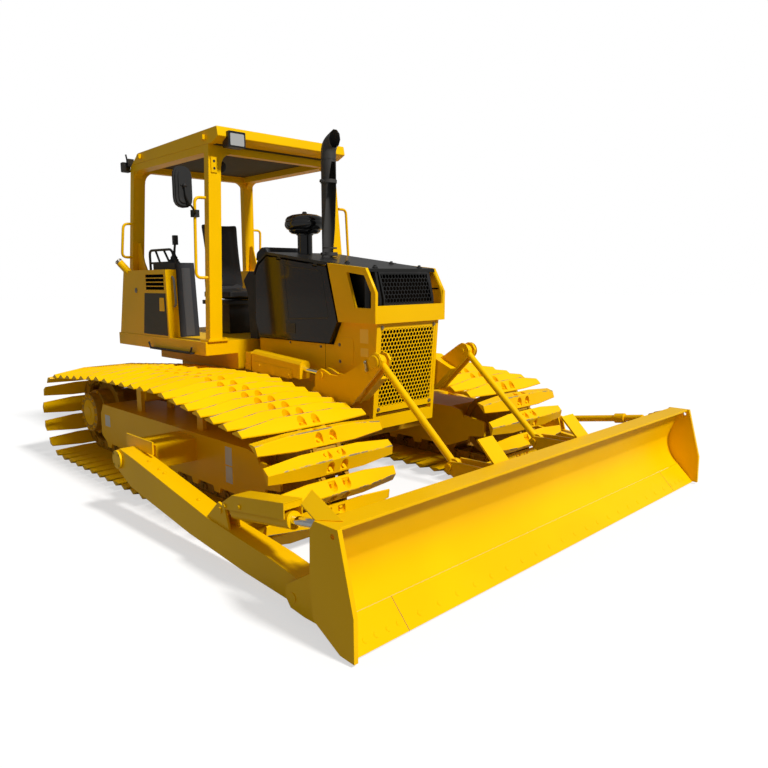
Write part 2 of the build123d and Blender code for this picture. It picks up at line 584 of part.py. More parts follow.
crank_body = ((CRANK_Y + 30, 800), (-560, 900), (-687, 940), (-784, 968), (-855, 1020), (-1020, 950), (-836, 772),
              (CRANK_Y - 60, 726))
crank_web = ((CRANK_Y + 40, CRANK_Z), (CRANK_Y, CRANK_Z + 54), (-660, 870), (-784, 962), (-860, 980), (-910, 860),
             (-836, 776), (CRANK_Y - 60, 730))
for side, name in SIDES:
    mid_x = side * LINK_X
    with BuildPart() as crank:
        for face in (-1, 1):
            plate_in = mid_x + face * CRANK_GAP / 2
            prism(crank_outline, plate_in, plate_in + face * CRANK_PLATE)
        prism(crank_web, mid_x - CRANK_GAP / 2, mid_x + CRANK_GAP / 2)
        prism(crank_body, side * (BODY_HALF + RUNNING_GAP + 9), side * (LINK_X - CRANK_GAP / 2 - CRANK_PLATE + 1))
        drum(CRANK_Y, CRANK_Z, 62, side * (BODY_HALF + RUNNING_GAP), mid_x)
        drum(CRANK_Y, CRANK_Z, 31, side * BODY_HALF, side * (LINK_X + 60), mode=Mode.SUBTRACT)
        drum(LINK_TOP_Y, LINK_TOP_Z, 20, mid_x - 56, mid_x + 56)
        for face in (-1, 1):
            boss_in = mid_x + face * (CRANK_GAP / 2 + CRANK_PLATE - 1)
            drum(ROD_EYE_Y, ROD_EYE_Z, 26, boss_in, boss_in + face * 10)
    crank.part.label = f"crank_{name}"
    export_step(crank.part, f"parts/crank_{name}.step")

    link_start = Vector(mid_x, LINK_TOP_Y, LINK_TOP_Z)
    link_end = Vector(mid_x, LINK_LOW_Y, LINK_LOW_Z)
    with BuildPart() as link:
        rod_between(tuple(link_start), tuple(link_end), LINK_RADIUS)
        for y, z in ((LINK_TOP_Y, LINK_TOP_Z), (LINK_LOW_Y, LINK_LOW_Z)):
            drum(y, z, LINK_EYE, mid_x - EYE_WIDTH / 2, mid_x + EYE_WIDTH / 2)
        drum(LINK_TOP_Y, LINK_TOP_Z, 21, mid_x - 30, mid_x + 30, mode=Mode.SUBTRACT)
    link.part.label = f"link_{name}"
    export_step(link.part, f"parts/link_{name}.step")

    with BuildPart() as lift_cylinder:
        with BuildSketch(Plane(origin=on_lift(side, 60), x_dir=(1, 0, 0), z_dir=lift_way)) as cover:
            with BuildLine():
                Polyline(*LIFT_COVER, close=True)
            make_face()
        extrude(cover.sketch, amount=630)
        rod_between(on_lift(side, 0), on_lift(side, 90), 18)
        rod_between(on_lift(side, 350), on_lift(side, 700), LIFT_ROD + SEAT_GAP, mode=Mode.SUBTRACT)
        drum(LIFT_BASE_Y, LIFT_BASE_Z, 40, mid_x - 20, mid_x + 20)
        drum(LIFT_BASE_Y, LIFT_BASE_Z, 19, mid_x - 60, mid_x + 60, mode=Mode.SUBTRACT)
    lift_cylinder.part.label = f"lift_cylinder_{name}"
    export_step(lift_cylinder.part, f"parts/lift_cylinder_{name}.step")

    with BuildPart() as lift_rod:
        rod_between(on_lift(side, 480), on_lift(side, lift_length), LIFT_ROD)
        drum(ROD_EYE_Y, ROD_EYE_Z, 30, mid_x - EYE_WIDTH / 2, mid_x + EYE_WIDTH / 2)
    lift_rod.part.label = f"lift_rod_{name}"
    export_step(lift_rod.part, f"parts/lift_rod_{name}.step")

# Radiator guard: lower sides, front surround, band and upper side frames
with BuildPart() as radiator_guard:
    side_low = 700 + SEAT_GAP
    for side, name in SIDES:
        prism(((guard_front(CORE_LOW_Z) + 20, CORE_LOW_Z), (guard_front(BAND_LOW_Z) + 20, BAND_LOW_Z + 2),
               (-540, BAND_LOW_Z + 2), (-450, GUARD_SIDE_TOP_Z), (495, GUARD_SIDE_TOP_Z), (495, side_low),
               (-640, side_low), (-680, CORE_LOW_Z)), side * (BODY_HALF - SHEET), side * BODY_HALF)
        prism(((-424 - 8, 1745), (-834, 1703), (-932, 1532), (BAND_FRONT_Y, BAND_TOP_Z), (BAND_FRONT_Y, BAND_LOW_Z),
               (-548, BAND_LOW_Z)), side * (HOOD_HALF - SHEET), side * HOOD_HALF)
        prism(((-640, 1676), (-820, 1652), (-888, 1532), (-888, 1424), (-728, 1426)),
              side * (HOOD_HALF - SHEET - 1), side * (HOOD_HALF + 1), mode=Mode.SUBTRACT)
        block(side * (BODY_HALF - 2), side * HOOD_HALF, BAND_FRONT_Y, -560, BAND_LOW_Z, BAND_LOW_Z + SHEET)
        drum(CRANK_Y, CRANK_Z, 30, side * (BODY_HALF - 4), side * (LINK_X + 52))
        block(side * (BODY_HALF - 4), side * (LINK_X + 48), LIFT_BASE_Y - 40, LIFT_BASE_Y + 40,
              LIFT_BASE_Z - 110, LIFT_BASE_Z - 60)
        for ear in (-1, 1):
            ear_in = side * LINK_X + ear * (20 + RUNNING_GAP)
            block(ear_in, ear_in + ear * 16, LIFT_BASE_Y - 36, LIFT_BASE_Y + 36, LIFT_BASE_Z - 64, LIFT_BASE_Z + 36)
        drum(LIFT_BASE_Y, LIFT_BASE_Z, 18, side * LINK_X - 42, side * LINK_X + 42)
    block(-HOOD_HALF, HOOD_HALF, BAND_FRONT_Y, BAND_FRONT_Y + SHEET, BAND_LOW_Z, BAND_TOP_Z)
    block(-BODY_HALF, BODY_HALF, BAND_FRONT_Y + 20, BAND_FRONT_Y + 80, BAND_LOW_Z, BAND_LOW_Z + SHEET)
    low_y, high_y = guard_front(BELLY_FRONT_Z), guard_front(BAND_LOW_Z + 2)
    for side, name in SIDES:
        prism(((low_y, BELLY_FRONT_Z), (high_y, BAND_LOW_Z + 2), (high_y + 40, BAND_LOW_Z + 2),
               (guard_front(CORE_LOW_Z) + 40, CORE_LOW_Z), (low_y + 31, CORE_LOW_Z), (low_y + 31, BELLY_FRONT_Z)),
              side * 300, side * BODY_HALF)
    prism(((low_y, BELLY_FRONT_Z), (guard_front(GUARD_BEAM_TOP_Z), GUARD_BEAM_TOP_Z), (low_y + 31, GUARD_BEAM_TOP_Z),
           (low_y + 31, BELLY_FRONT_Z)), -BODY_HALF, BODY_HALF)
radiator_guard.part.label = "radiator_guard"
export_step(radiator_guard.part, "parts/radiator_guard.step")

with BuildPart() as front_grille:
    low_y, high_y = guard_front(GRILLE_LOW_Z), guard_front(BAND_LOW_Z)
    prism(((low_y + 2, GRILLE_LOW_Z), (high_y + 2, BAND_LOW_Z - SEAT_GAP), (high_y + 14, BAND_LOW_Z - SEAT_GAP),
           (low_y + 14, GRILLE_LOW_Z)), -300 + SEAT_GAP, 300 - SEAT_GAP)
front_grille.part.label = "front_grille"
export_step(front_grille.part, "parts/front_grille.step")

with BuildPart() as upper_grille:
    prism(((-850, GRILLE_TOP_Z - SEAT_GAP), (-905, 1488), (-905, BAND_TOP_Z + SEAT_GAP),
           (-887, BAND_TOP_Z + SEAT_GAP), (-887, 1484), (-834, GRILLE_TOP_Z - SEAT_GAP)), -262, 262)
upper_grille.part.label = "upper_grille"
export_step(upper_grille.part, "parts/upper_grille.step")

with BuildPart() as radiator_core:
    core_half = COWL_HALF - SEAT_GAP
    block(-core_half, core_half, -806, -706, CORE_LOW_Z, 1580)
radiator_core.part.label = "radiator_core"
export_step(radiator_core.part, "parts/radiator_core.step")

with BuildPart() as engine_block:
    block(-220, 220, -620, 260, 700 + SEAT_GAP, 1480)
engine_block.part.label = "engine_block"
export_step(engine_block.part, "parts/engine_block.step")

# Hood: sloping top sheet, rear wall and the dark cowl inside the guard's upper frames
hood_line = ((-846, GRILLE_TOP_Z + HOOD_SHEET), (-424, 1752), (318, 1850), (440, 1785), (500, 1690))
hinge_line = [Vector(0, y, z - HOOD_SHEET - HINGE_DROP) for y, z in hood_line[1:3]]
hinge_way = (hinge_line[1] - hinge_line[0]).normalized()
hinge_x = HOOD_HALF - HINGE_INSET


def on_hinge(side, travel):
    point = hinge_line[0] + hinge_way * travel
    return (side * hinge_x, point.Y, point.Z)


with BuildPart() as hood:
    hood_halves = (HOOD_HALF - SHEET - SEAT_GAP, HOOD_HALF, HOOD_HALF, HOOD_HALF)
    for (y0, z0), (y1, z1), half in zip(hood_line, hood_line[1:], hood_halves):
        prism(((y0, z0), (y1, z1), (y1, z1 - HOOD_SHEET), (y0, z0 - HOOD_SHEET)), -half, half)
    for side, name in SIDES:
        prism(((-890, BAND_TOP_Z + SEAT_GAP), (-890, 1484), (-840, 1684), (-430, 1735), (-430, BAND_TOP_Z + SEAT_GAP)),
              side * COWL_HALF, side * (COWL_HALF + HOOD_SHEET))
    for side, name in SIDES:
        for place in HINGE_PLACES:
            rod_between(on_hinge(side, place), on_hinge(side, place + KNUCKLE), HINGE_RADIUS)
            y0, y1 = on_hinge(side, place + 4)[1], on_hinge(side, place + KNUCKLE - 4)[1]
            z0, z1 = on_hinge(side, place + 4)[2], on_hinge(side, place + KNUCKLE - 4)[2]
            prism(((y0, z0), (y1, z1), (y1, z1 + HINGE_DROP + 4), (y0, z0 + HINGE_DROP + 4)),
                  side * (hinge_x - 3), side * (hinge_x + 3))
    wall_half = HOOD_HALF - SHEET - RUNNING_GAP
    block(-wall_half, wall_half, 500 - HOOD_SHEET, 500, GUARD_SIDE_TOP_Z + SEAT_GAP, 1680)
    for y, radius in ((STACK_Y, STACK_RADIUS), (PRECLEANER_Y, PRECLEANER_NECK)):
        with Locations((0, y, 1800)):
            Cylinder(radius + SEAT_GAP, 200, mode=Mode.SUBTRACT)
hood.part.label = "hood"
export_step(hood.part, "parts/hood.step")

door_top = HOOD_SHEET + HINGE_DROP
for side, name in SIDES:
    with BuildPart() as engine_door:
        prism(((-424 + DOOR_GAP, 1752 - door_top), (-540 + DOOR_GAP, 1318), (-450 + DOOR_GAP, 1157), (436, 1157),
               (490, 1290), (472, 1680), (428, 1785 - door_top - 4), (318, 1850 - door_top)),
              side * (HOOD_HALF - SHEET), side * HOOD_HALF)
        for place in HINGE_PLACES:
            y0, y1 = on_hinge(side, place - 3)[1], on_hinge(side, place + KNUCKLE + 3)[1]
            z0, z1 = on_hinge(side, place - 3)[2], on_hinge(side, place + KNUCKLE + 3)[2]
            room = HINGE_RADIUS + RUNNING_GAP
            prism(((y0, z0 - room), (y1, z1 - room), (y1, z1 + room), (y0, z0 + room)),
                  side * (HOOD_HALF - SHEET - 1), side * (HOOD_HALF + 1), mode=Mode.SUBTRACT)
            knuckle_start = place + KNUCKLE + SEAT_GAP
            rod_between(on_hinge(side, knuckle_start), on_hinge(side, knuckle_start + KNUCKLE), HINGE_RADIUS)
    engine_door.part.label = f"engine_door_{name}"
    export_step(engine_door.part, f"parts/engine_door_{name}.step")

# Exhaust stack, bent forward with an upright mouth, and the precleaner's bowl on its neck
stack_line = ((0, STACK_Y, 1760), (0, STACK_Y, 2590), (0, STACK_Y - 22, 2644), (0, STACK_Y - 70, 2690),
              (0, STACK_Y - 170, 2738))
with BuildPart() as exhaust_stack:
    pipe(stack_line, STACK_RADIUS, 16)
    prism(((STACK_Y - 64, 2600), (STACK_Y - 90, 2840), (STACK_Y - 300, 2840), (STACK_Y - 300, 2600)), -100, 100,
          mode=Mode.SUBTRACT)
exhaust_stack.part.label = "exhaust_stack"
export_step(exhaust_stack.part, "parts/exhaust_stack.step")

# height and radius of each step of the bowl
PRECLEANER_STEPS = ((1790, PRECLEANER_NECK), (2006, 118), (2034, 158), (2076, 168), (2140, 146), (2166, 16), (2186, 0))
with BuildPart() as precleaner:
    for (low_z, radius), (high_z, ignored) in zip(PRECLEANER_STEPS, PRECLEANER_STEPS[1:]):
        with BuildSketch(Plane.XY.offset(low_z)) as ring:
            with Locations((0, PRECLEANER_Y)):
                RegularPolygon(radius, 16)
        extrude(ring.sketch, amount=high_z - low_z)
precleaner.part.label = "precleaner"
export_step(precleaner.part, "parts/precleaner.step")

# Operator's platform
with BuildPart() as platform:
    block(-PLATFORM_HALF, PLATFORM_HALF, PLATFORM_FRONT_Y, PLATFORM_REAR_Y, PLATFORM_TOP_Z - PLATFORM_DEPTH,
          PLATFORM_TOP_Z)
    block(-500, 500, PLATFORM_FRONT_Y, PLATFORM_REAR_Y - 250, 880, PLATFORM_TOP_Z - PLATFORM_DEPTH)
    block(-300, 300, PLATFORM_FRONT_Y + 20, PLATFORM_REAR_Y - 300, 700 + SEAT_GAP, 900)
platform.part.label = "platform"
export_step(platform.part, "parts/platform.step")

floor_z = PLATFORM_TOP_Z + SEAT_GAP


def side_box(side):
    """A side box: narrow beside the seat, wide under the rear post, with its outer rear corner cut back."""
    outer = side * (PLATFORM_HALF - 6)
    prism(((1185, floor_z), (1211, CONSOLE_TOP_Z), (2112, CONSOLE_TOP_Z), (2172, floor_z)), outer, side * CONSOLE_IN_X)
    prism(((1640, floor_z), (1640, CONSOLE_TOP_Z), (2112, CONSOLE_TOP_Z), (2172, floor_z)), side * CONSOLE_IN_X,
          side * 560)
    corner = Vector(outer, 2172, floor_z)
    top_side = Vector(outer, 2033, CONSOLE_TOP_Z)
    top_rear = Vector(outer - side * 70, 2112, CONSOLE_TOP_Z)
    normal = (top_side - corner).cross(top_rear - corner)
    if normal.Y < 0:
        normal = -normal
    with Locations(Plane(origin=corner, z_dir=normal)):
        Box(2000, 2000, 200, align=(Align.CENTER, Align.CENTER, Align.MIN), mode=Mode.SUBTRACT)


with BuildPart() as fuel_tank:
    side_box(RIGHT)
    rod_between((-770, 1960, 1690), (-846, 2012, 1800), 34)
fuel_tank.part.label = "fuel_tank"
export_step(fuel_tank.part, "parts/fuel_tank.step")

with BuildPart() as left_console:
    side_box(LEFT)
left_console.part.label = "left_console"
export_step(left_console.part, "parts/left_console.step")

with BuildPart() as control_console:
    console_out_x = -CONSOLE_IN_X + SEAT_GAP
    prism(((1180, floor_z), (1232, 1782), (1630, 1782), (1630, floor_z)), console_out_x, -505)
    rod_between((-600, 1420, 1770), (-600, 1385, 1960), 9)
    with Locations((-600, 1380, 1985)):
        Box(40, 40, 84)
control_console.part.label = "control_console"
export_step(control_console.part, "parts/control_console.step")

with BuildPart() as dashboard:
    prism(((530 + SEAT_GAP, floor_z), (530 + SEAT_GAP, 1700), (640, 1700), (720, 1620), (660, 1500), (640, floor_z)),
          -330, 330)
    prism(((530 + SEAT_GAP, 1690), (530 + SEAT_GAP, 1820), (565, 1854), (640, 1854), (690, 1690)), -215, 180)
dashboard.part.label = "dashboard"
export_step(dashboard.part, "parts/dashboard.step")

with BuildPart() as seat_base:
    block(-190, 190, 1170, 1560, floor_z, 1400)
    block(-220, 220, 1130, 1600, 1400, 1440)
seat_base.part.label = "seat_base"
export_step(seat_base.part, "parts/seat_base.step")

with BuildPart() as seat_cushion:
    block(-235, 235, 1080, 1550, 1440 + SEAT_GAP, 1550)
seat_cushion.part.label = "seat_cushion"
export_step(seat_cushion.part, "parts/seat_cushion.step")

with BuildPart() as seat_back:
    prism(((1480, 1550 + SEAT_GAP), (1570, 2166), (1666, 2160), (1596, 1550 + SEAT_GAP)), -208, 208)
seat_back.part.label = "seat_back"
export_step(seat_back.part, "parts/seat_back.step")

# Canopy: leaning posts, on the floor in front and on the side boxes behind
def post_place(post, z):
    """Outer face and front face of a pair of posts at a height."""
    foot_x, foot_y, head_y, foot_z = post
    share = (z - foot_z) / (POST_HEAD_Z - foot_z)
    return foot_x + (POST_HEAD_X - foot_x) * share, foot_y + (head_y - foot_y) * share


with BuildPart() as rops_frame:
    for post in (FRONT_POST, REAR_POST):
        foot_z = post[3] + SEAT_GAP
        foot_x, foot_y = post_place(post, foot_z)
        head_x, head_y = post_place(post, POST_HEAD_Z)
        for side, name in SIDES:
            way = Vector(side * (head_x - foot_x), head_y - foot_y, POST_HEAD_Z - foot_z)
            with BuildSketch(Plane.XY.offset(foot_z)) as foot:
                with Locations((side * (foot_x - POST_WIDTH / 2), foot_y + POST_DEPTH / 2)):
                    Rectangle(POST_WIDTH, POST_DEPTH)
            extrude(foot.sketch, amount=way.length, dir=way.normalized())
        block(-POST_HEAD_X, POST_HEAD_X, head_y, head_y + POST_DEPTH, POST_HEAD_Z - 60, POST_HEAD_Z)
    for side, name in SIDES:
        block(side * (POST_HEAD_X - POST_WIDTH), side * POST_HEAD_X, FRONT_POST[2], REAR_POST[2] + POST_DEPTH,
              POST_HEAD_Z - 60, POST_HEAD_Z)
rops_frame.part.label = "rops_frame"
export_step(rops_frame.part, "parts/rops_frame.step")

with BuildPart() as roof:
    roof_low_z = POST_HEAD_Z + SEAT_GAP
    prism(((ROOF_FRONT_Y, ROOF_TOP_Z), (ROOF_FRONT_Y - 16, ROOF_TOP_Z - 78), (ROOF_FRONT_Y + 74, roof_low_z),
           (ROOF_REAR_Y, roof_low_z), (ROOF_REAR_Y - 140, ROOF_TOP_Z - 26)), -ROOF_HALF, ROOF_HALF)
roof.part.label = "roof"
export_step(roof.part, "parts/roof.step")

with BuildPart() as handrails:
    for side, name in SIDES:
        for post, low_z, high_z in ((FRONT_POST, 1647, 2278), (REAR_POST, 1850, 2160)):
            places = []
            for z, reach in ((low_z, 0), (low_z, RAIL_REACH - 26), (low_z + 26, RAIL_REACH),
                             (high_z - 26, RAIL_REACH), (high_z, RAIL_REACH - 26), (high_z, 0)):
                face_x, front_y = post_place(post, z)
                outer_x, rail_y = post_place(post, z - HANDRAIL_RADIUS)
                places.append((side * (outer_x + SEAT_GAP + reach), front_y + POST_DEPTH / 2, z))
            pipe(places, HANDRAIL_RADIUS, 8)
handrails.part.label = "handrails"
export_step(handrails.part, "parts/handrails.step")

print("parts written")
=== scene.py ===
"""The looks of a small swamp bulldozer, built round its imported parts.

Metres. The machine faces -Y, and +X is its left.
"""

import json
import math

import bmesh
import bpy
from mathutils import Matrix, Vector

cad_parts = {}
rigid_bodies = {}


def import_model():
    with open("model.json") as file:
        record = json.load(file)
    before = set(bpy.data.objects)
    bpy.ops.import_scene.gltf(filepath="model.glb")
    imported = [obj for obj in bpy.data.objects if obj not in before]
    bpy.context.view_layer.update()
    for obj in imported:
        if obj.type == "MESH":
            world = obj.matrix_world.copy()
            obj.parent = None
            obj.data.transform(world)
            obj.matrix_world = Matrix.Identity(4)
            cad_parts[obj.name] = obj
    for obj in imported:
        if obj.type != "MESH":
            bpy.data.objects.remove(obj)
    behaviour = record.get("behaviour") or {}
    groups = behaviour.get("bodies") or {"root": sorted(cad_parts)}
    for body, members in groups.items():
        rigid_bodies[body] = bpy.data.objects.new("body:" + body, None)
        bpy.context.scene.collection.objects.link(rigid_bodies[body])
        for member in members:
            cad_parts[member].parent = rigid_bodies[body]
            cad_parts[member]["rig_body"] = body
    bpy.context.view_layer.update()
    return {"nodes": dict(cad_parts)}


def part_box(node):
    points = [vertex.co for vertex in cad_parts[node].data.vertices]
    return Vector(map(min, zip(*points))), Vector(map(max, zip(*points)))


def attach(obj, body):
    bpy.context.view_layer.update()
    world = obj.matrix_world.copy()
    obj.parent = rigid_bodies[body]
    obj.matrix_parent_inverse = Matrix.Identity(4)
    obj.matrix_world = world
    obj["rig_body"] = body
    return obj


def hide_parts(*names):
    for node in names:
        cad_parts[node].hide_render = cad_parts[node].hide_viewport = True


bl_info = {
    "name": "Swamp Bulldozer",
    "version": (1, 0, 0),
    "blender": (4, 5, 0),
    "location": "View3D > Sidebar > Bulldozer",
    "description": "Dresses the packed bulldozer: paint, track shoes, grilles, blade and canopy details",
    "category": "Add Mesh",
}

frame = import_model()
SIDES = ((-1, "right"), (1, "left"))
# axes that a flat outline is carried along
X, Y = 0, 1
FINISHES = {}


# ---------------------------------------------------------------- settings


class PaintSettings(bpy.types.PropertyGroup):
    yellow: bpy.props.FloatVectorProperty(
        name="Yellow", description="Colour of the enamel", subtype="COLOR", default=(0.95, 0.545, 0.0)
    )
    black: bpy.props.FloatVectorProperty(
        name="Black", description="Colour of the black parts", subtype="COLOR", default=(0.008, 0.008, 0.008)
    )
    # The engine doors' colour: black paint with a brown tint that is painted reflection of the yellow round
    # them.
    door: bpy.props.FloatVectorProperty(
        name="Door", description="Colour of the engine doors", subtype="COLOR", default=(0.013, 0.008, 0.003)
    )
    wear: bpy.props.FloatProperty(
        name="Wear", description="How far the paint is worn off the shoes' ridges", default=0.5, min=0, max=1
    )


class StudioSettings(bpy.types.PropertyGroup):
    key: bpy.props.FloatProperty(name="Key light", description="Strength of the sun", default=3.6, min=0)
    sky: bpy.props.FloatProperty(name="Sky light", description="Light from all round", default=0.22, min=0)
    spread: bpy.props.FloatProperty(
        name="Softness", description="Width of the sun", default=math.radians(7), subtype="ANGLE"
    )


class TrackSettings(bpy.types.PropertyGroup):
    shoes: bpy.props.IntProperty(name="Shoes", description="Shoes on one track", default=50, min=20, max=60)
    width: bpy.props.FloatProperty(
        name="Shoe length", description="Length of a shoe", default=1.0, unit="LENGTH"
    )
    ridge: bpy.props.FloatProperty(
        name="Ridge", description="Height of a shoe's ridge", default=0.068, unit="LENGTH"
    )


class GrilleSettings(bpy.types.PropertyGroup):
    front_hole: bpy.props.FloatProperty(
        name="Front hole", description="Radius of the front grille's holes", default=0.0142, unit="LENGTH"
    )
    front_pitch: bpy.props.FloatProperty(
        name="Front pitch", description="Spacing of the front grille's holes", default=0.0332, unit="LENGTH"
    )
    upper_hole: bpy.props.FloatProperty(
        name="Upper hole", description="Radius of the upper grille's holes", default=0.0160, unit="LENGTH"
    )
    upper_pitch: bpy.props.FloatProperty(
        name="Upper pitch", description="Spacing of the upper grille's holes", default=0.0325, unit="LENGTH"
    )


# ---------------------------------------------------------------- finishes


class Wire:
    """A socket of a node tree, so that shader maths is written as an expression."""

    def __init__(self, nodes, socket):
        self.nodes = nodes
        self.socket = socket

    def maths(self, operation, first, second):
        return self.nodes.node("ShaderNodeMath", {"operation": operation}, {0: first, 1: second})

    def __add__(self, other):
        return self.maths("ADD", self, other)

    def __radd__(self, other):
        return self.maths("ADD", other, self)

    def __sub__(self, other):
        return self.maths("SUBTRACT", self, other)

    def __rsub__(self, other):
        return self.maths("SUBTRACT", other, self)

    def __mul__(self, other):
        return self.maths("MULTIPLY", self, other)

    def __rmul__(self, other):
        return self.maths("MULTIPLY", other, self)


class Nodes:
    """An emptied node tree and the one method that adds its nodes."""

    def __init__(self, tree):
        self.tree = tree
        tree.nodes.clear()

    def node(self, kind, settings=None, inputs=None, out=0):
        """Adds a node: its settings first, then the value or link of each socket. Returns one output."""
        made = self.tree.nodes.new(kind)
        for key, value in (settings or {}).items():
            setattr(made, key, value)
        for key, value in (inputs or {}).items():
            if isinstance(value, Wire):
                self.tree.links.new(value.socket, made.inputs[key])
            else:
                made.inputs[key].default_value = value
        return Wire(self, made.outputs[out]) if made.outputs else None


class Finish(Nodes):
    """A procedural material."""

    def __init__(self, name):
        self.material = bpy.data.materials.new(name)
        self.material.use_nodes = True
        super().__init__(self.material.node_tree)
        FINISHES[name] = self.material

    def place(self):
        return self.node("ShaderNodeTexCoord", out="Object")

    def noise(self, scale, detail=3.0, place=None, rough=0.55):
        inputs = {"Vector": place or self.place(), "Scale": scale, "Detail": detail, "Roughness": rough}
        return self.node("ShaderNodeTexNoise", {}, inputs)

    def mix(self, factor, first, second):
        first, second = (c if isinstance(c, Wire) else (*c, 1) for c in (first, second))
        return self.node("ShaderNodeMix", {"data_type": "RGBA"}, {0: factor, 6: first, 7: second}, out=2)

    def mask(self, factor, low, high):
        """0 below low, 1 above high, smooth between."""
        inputs = {"Value": factor, "From Min": low, "From Max": high}
        return self.node("ShaderNodeMapRange", {"interpolation_type": "SMOOTHSTEP"}, inputs)

    def bump(self, height, strength, distance, under=None):
        inputs = {"Height": height, "Strength": strength, "Distance": distance}
        if under is not None:
            inputs["Normal"] = under
        return self.node("ShaderNodeBump", {}, inputs)

    def surface(self, **sockets):
        """Ends the finish with one Principled shader. Socket names are given with _ for a space."""
        inputs = {key.replace("_", " "): value for key, value in sockets.items()}
        for key, value in inputs.items():
            if isinstance(value, tuple) and len(value) == 3:
                inputs[key] = (*value, 1)
        self.end(self.node("ShaderNodeBsdfPrincipled", {}, inputs))

    def end(self, shader):
        self.node("ShaderNodeOutputMaterial", {}, {"Surface": shader})


def scaled(colour, *factors):
    """A colour times one factor, or times one for each channel."""
    factors = factors if len(factors) == 3 else factors * 3
    return tuple(channel * factor for channel, factor in zip(colour, factors))


def enamel(name, colour, rough=0.34, worn=0.0):
    """Gloss machine paint: slight orange peel, faint dust, drifting tone.

    Where worn is above 0, the mesh's ridge attribute says where bare metal shows.
    """
    made = Finish(name)
    place = made.place()
    deep = scaled(colour, 0.93, 0.90, 0.9)
    dust = tuple(c * 0.72 + d * 0.12 for c, d in zip(colour, (0.42, 0.33, 0.1)))
    tone = made.mask(made.noise(1.1, 2.0, place), 0.32, 0.68)
    grime = made.mask(made.noise(5.5, 6.0, place, 0.65), 0.56, 0.82)
    specks = made.mask(made.noise(95.0, 3.0, place, 0.7), 0.705, 0.74)
    paint = made.mix(tone, deep, colour)
    paint = made.mix(grime * 0.08, paint, dust)
    paint = made.mix(specks * 0.35, paint, scaled(colour, 0.35))
    peel = made.bump(made.noise(190.0, 2.0, place), 0.05, 0.002)
    dent = made.bump(made.noise(2.6, 1.0, place), 0.12, 0.006, peel)
    roughness = rough + made.noise(24.0, 4.0, place) * 0.16 + grime * 0.12
    metallic = 0.0
    if worn:
        ridge = made.node("ShaderNodeAttribute", {"attribute_name": "ridge"}, {}, out="Fac")
        scuffs = (made.noise(46.0, 5.0, place, 0.72) - 0.5) * 0.05
        patches = (made.noise(9.0, 3.0, place) - 0.5) * 0.14
        edge = 0.02 * worn
        bare = made.mask(ridge + scuffs + patches, 1.0 - edge, 1.02 - edge)
        steel = made.mix(made.noise(120.0, 3.0, place), (0.16, 0.125, 0.06), (0.50, 0.42, 0.27))
        paint = made.mix(bare, paint, steel)
        roughness = roughness + bare * 0.12
        metallic = bare * 0.55
    made.surface(
        Base_Color=paint, Roughness=roughness, Metallic=metallic, Normal=dent, Coat_Weight=0.05,
        Coat_Roughness=0.15, Specular_IOR_Level=0.35, Specular_Tint=(1.0, 0.62, 0.05),
    )


def plastic(name, colour, rough, grain, scale, coat=0.0, film_lift=0.035):
    """Moulded plastic, rubber or dull black paint with a fine grain and a film of dust."""
    made = Finish(name)
    place = made.place()
    film = made.mask(made.noise(7.0, 5.0, place, 0.6), 0.45, 0.85)
    pale = tuple(c * 0.8 + film_lift for c in colour)
    made.surface(
        Base_Color=made.mix(film * 0.45, colour, pale),
        Roughness=rough + made.noise(30.0, 3.0, place) * 0.12,
        Normal=made.bump(made.noise(scale, 2.0, place), grain, 0.0012),
        # A film lift of 0 also takes the reflection away, so that a painted-shade sheet stays black.
        Coat_Weight=coat, Coat_Roughness=0.05, Specular_IOR_Level=0.4 if film_lift else 0.0,
    )


def metal(name, colour, rough, grime=0.4):
    """Plated or turned metal with drawn lines and dull patches."""
    made = Finish(name)
    place = made.place()
    patches = made.mask(made.noise(18.0, 5.0, place, 0.65), 0.42, 0.75)
    made.surface(
        Base_Color=made.mix(patches * grime, colour, scaled(colour, 0.45)),
        Metallic=1.0,
        Roughness=rough + patches * 0.22 * grime + made.noise(60.0, 2.0, place) * 0.06,
        Normal=made.bump(made.noise(340.0, 2.0, place), 0.12, 0.0006),
    )


def iron(name, colour):
    """Painted castings down among the rollers, with random yellow-brown patches that make them look muddy; on
    the running gear's yellow these patches darken it as painted shade.
    """
    made = Finish(name)
    place = made.place()
    mud_and_shade = made.mask(made.noise(9.0, 7.0, place, 0.7), 0.40, 0.72)
    made.surface(
        Base_Color=made.mix(mud_and_shade * 0.5, colour, (0.19, 0.12, 0.02)),
        Roughness=0.5 + mud_and_shade * 0.3,
        Normal=made.bump(made.noise(75.0, 5.0, place, 0.65), 0.3, 0.003),
    )


def vinyl(name, colour):
    """Seat covering: leather-like cells with a soft sheen."""
    made = Finish(name)
    place = made.place()
    cells = made.node("ShaderNodeTexVoronoi", {"feature": "F1"}, {"Vector": place, "Scale": 240.0})
    pale = tuple(c * 1.9 + 0.004 for c in colour)
    made.surface(
        Base_Color=made.mix(made.noise(12.0, 3.0, place) * 0.5, colour, pale),
        Roughness=0.42 + made.noise(40.0, 2.0, place) * 0.14,
        Normal=made.bump(cells, 0.3, 0.0012, made.bump(made.noise(22.0, 3.0, place), 0.18, 0.004)),
    )


def glass(name, tint, rough=0.04):
    """A dark pane under a clear coat, faintly rippled."""
    made = Finish(name)
    made.surface(
        Base_Color=tint, Roughness=rough + made.noise(40.0) * 0.04, Metallic=0.0,
        Normal=made.bump(made.noise(6.0, 1.0), 0.03, 0.004), Coat_Weight=1.0, Coat_Roughness=0.02,
    )


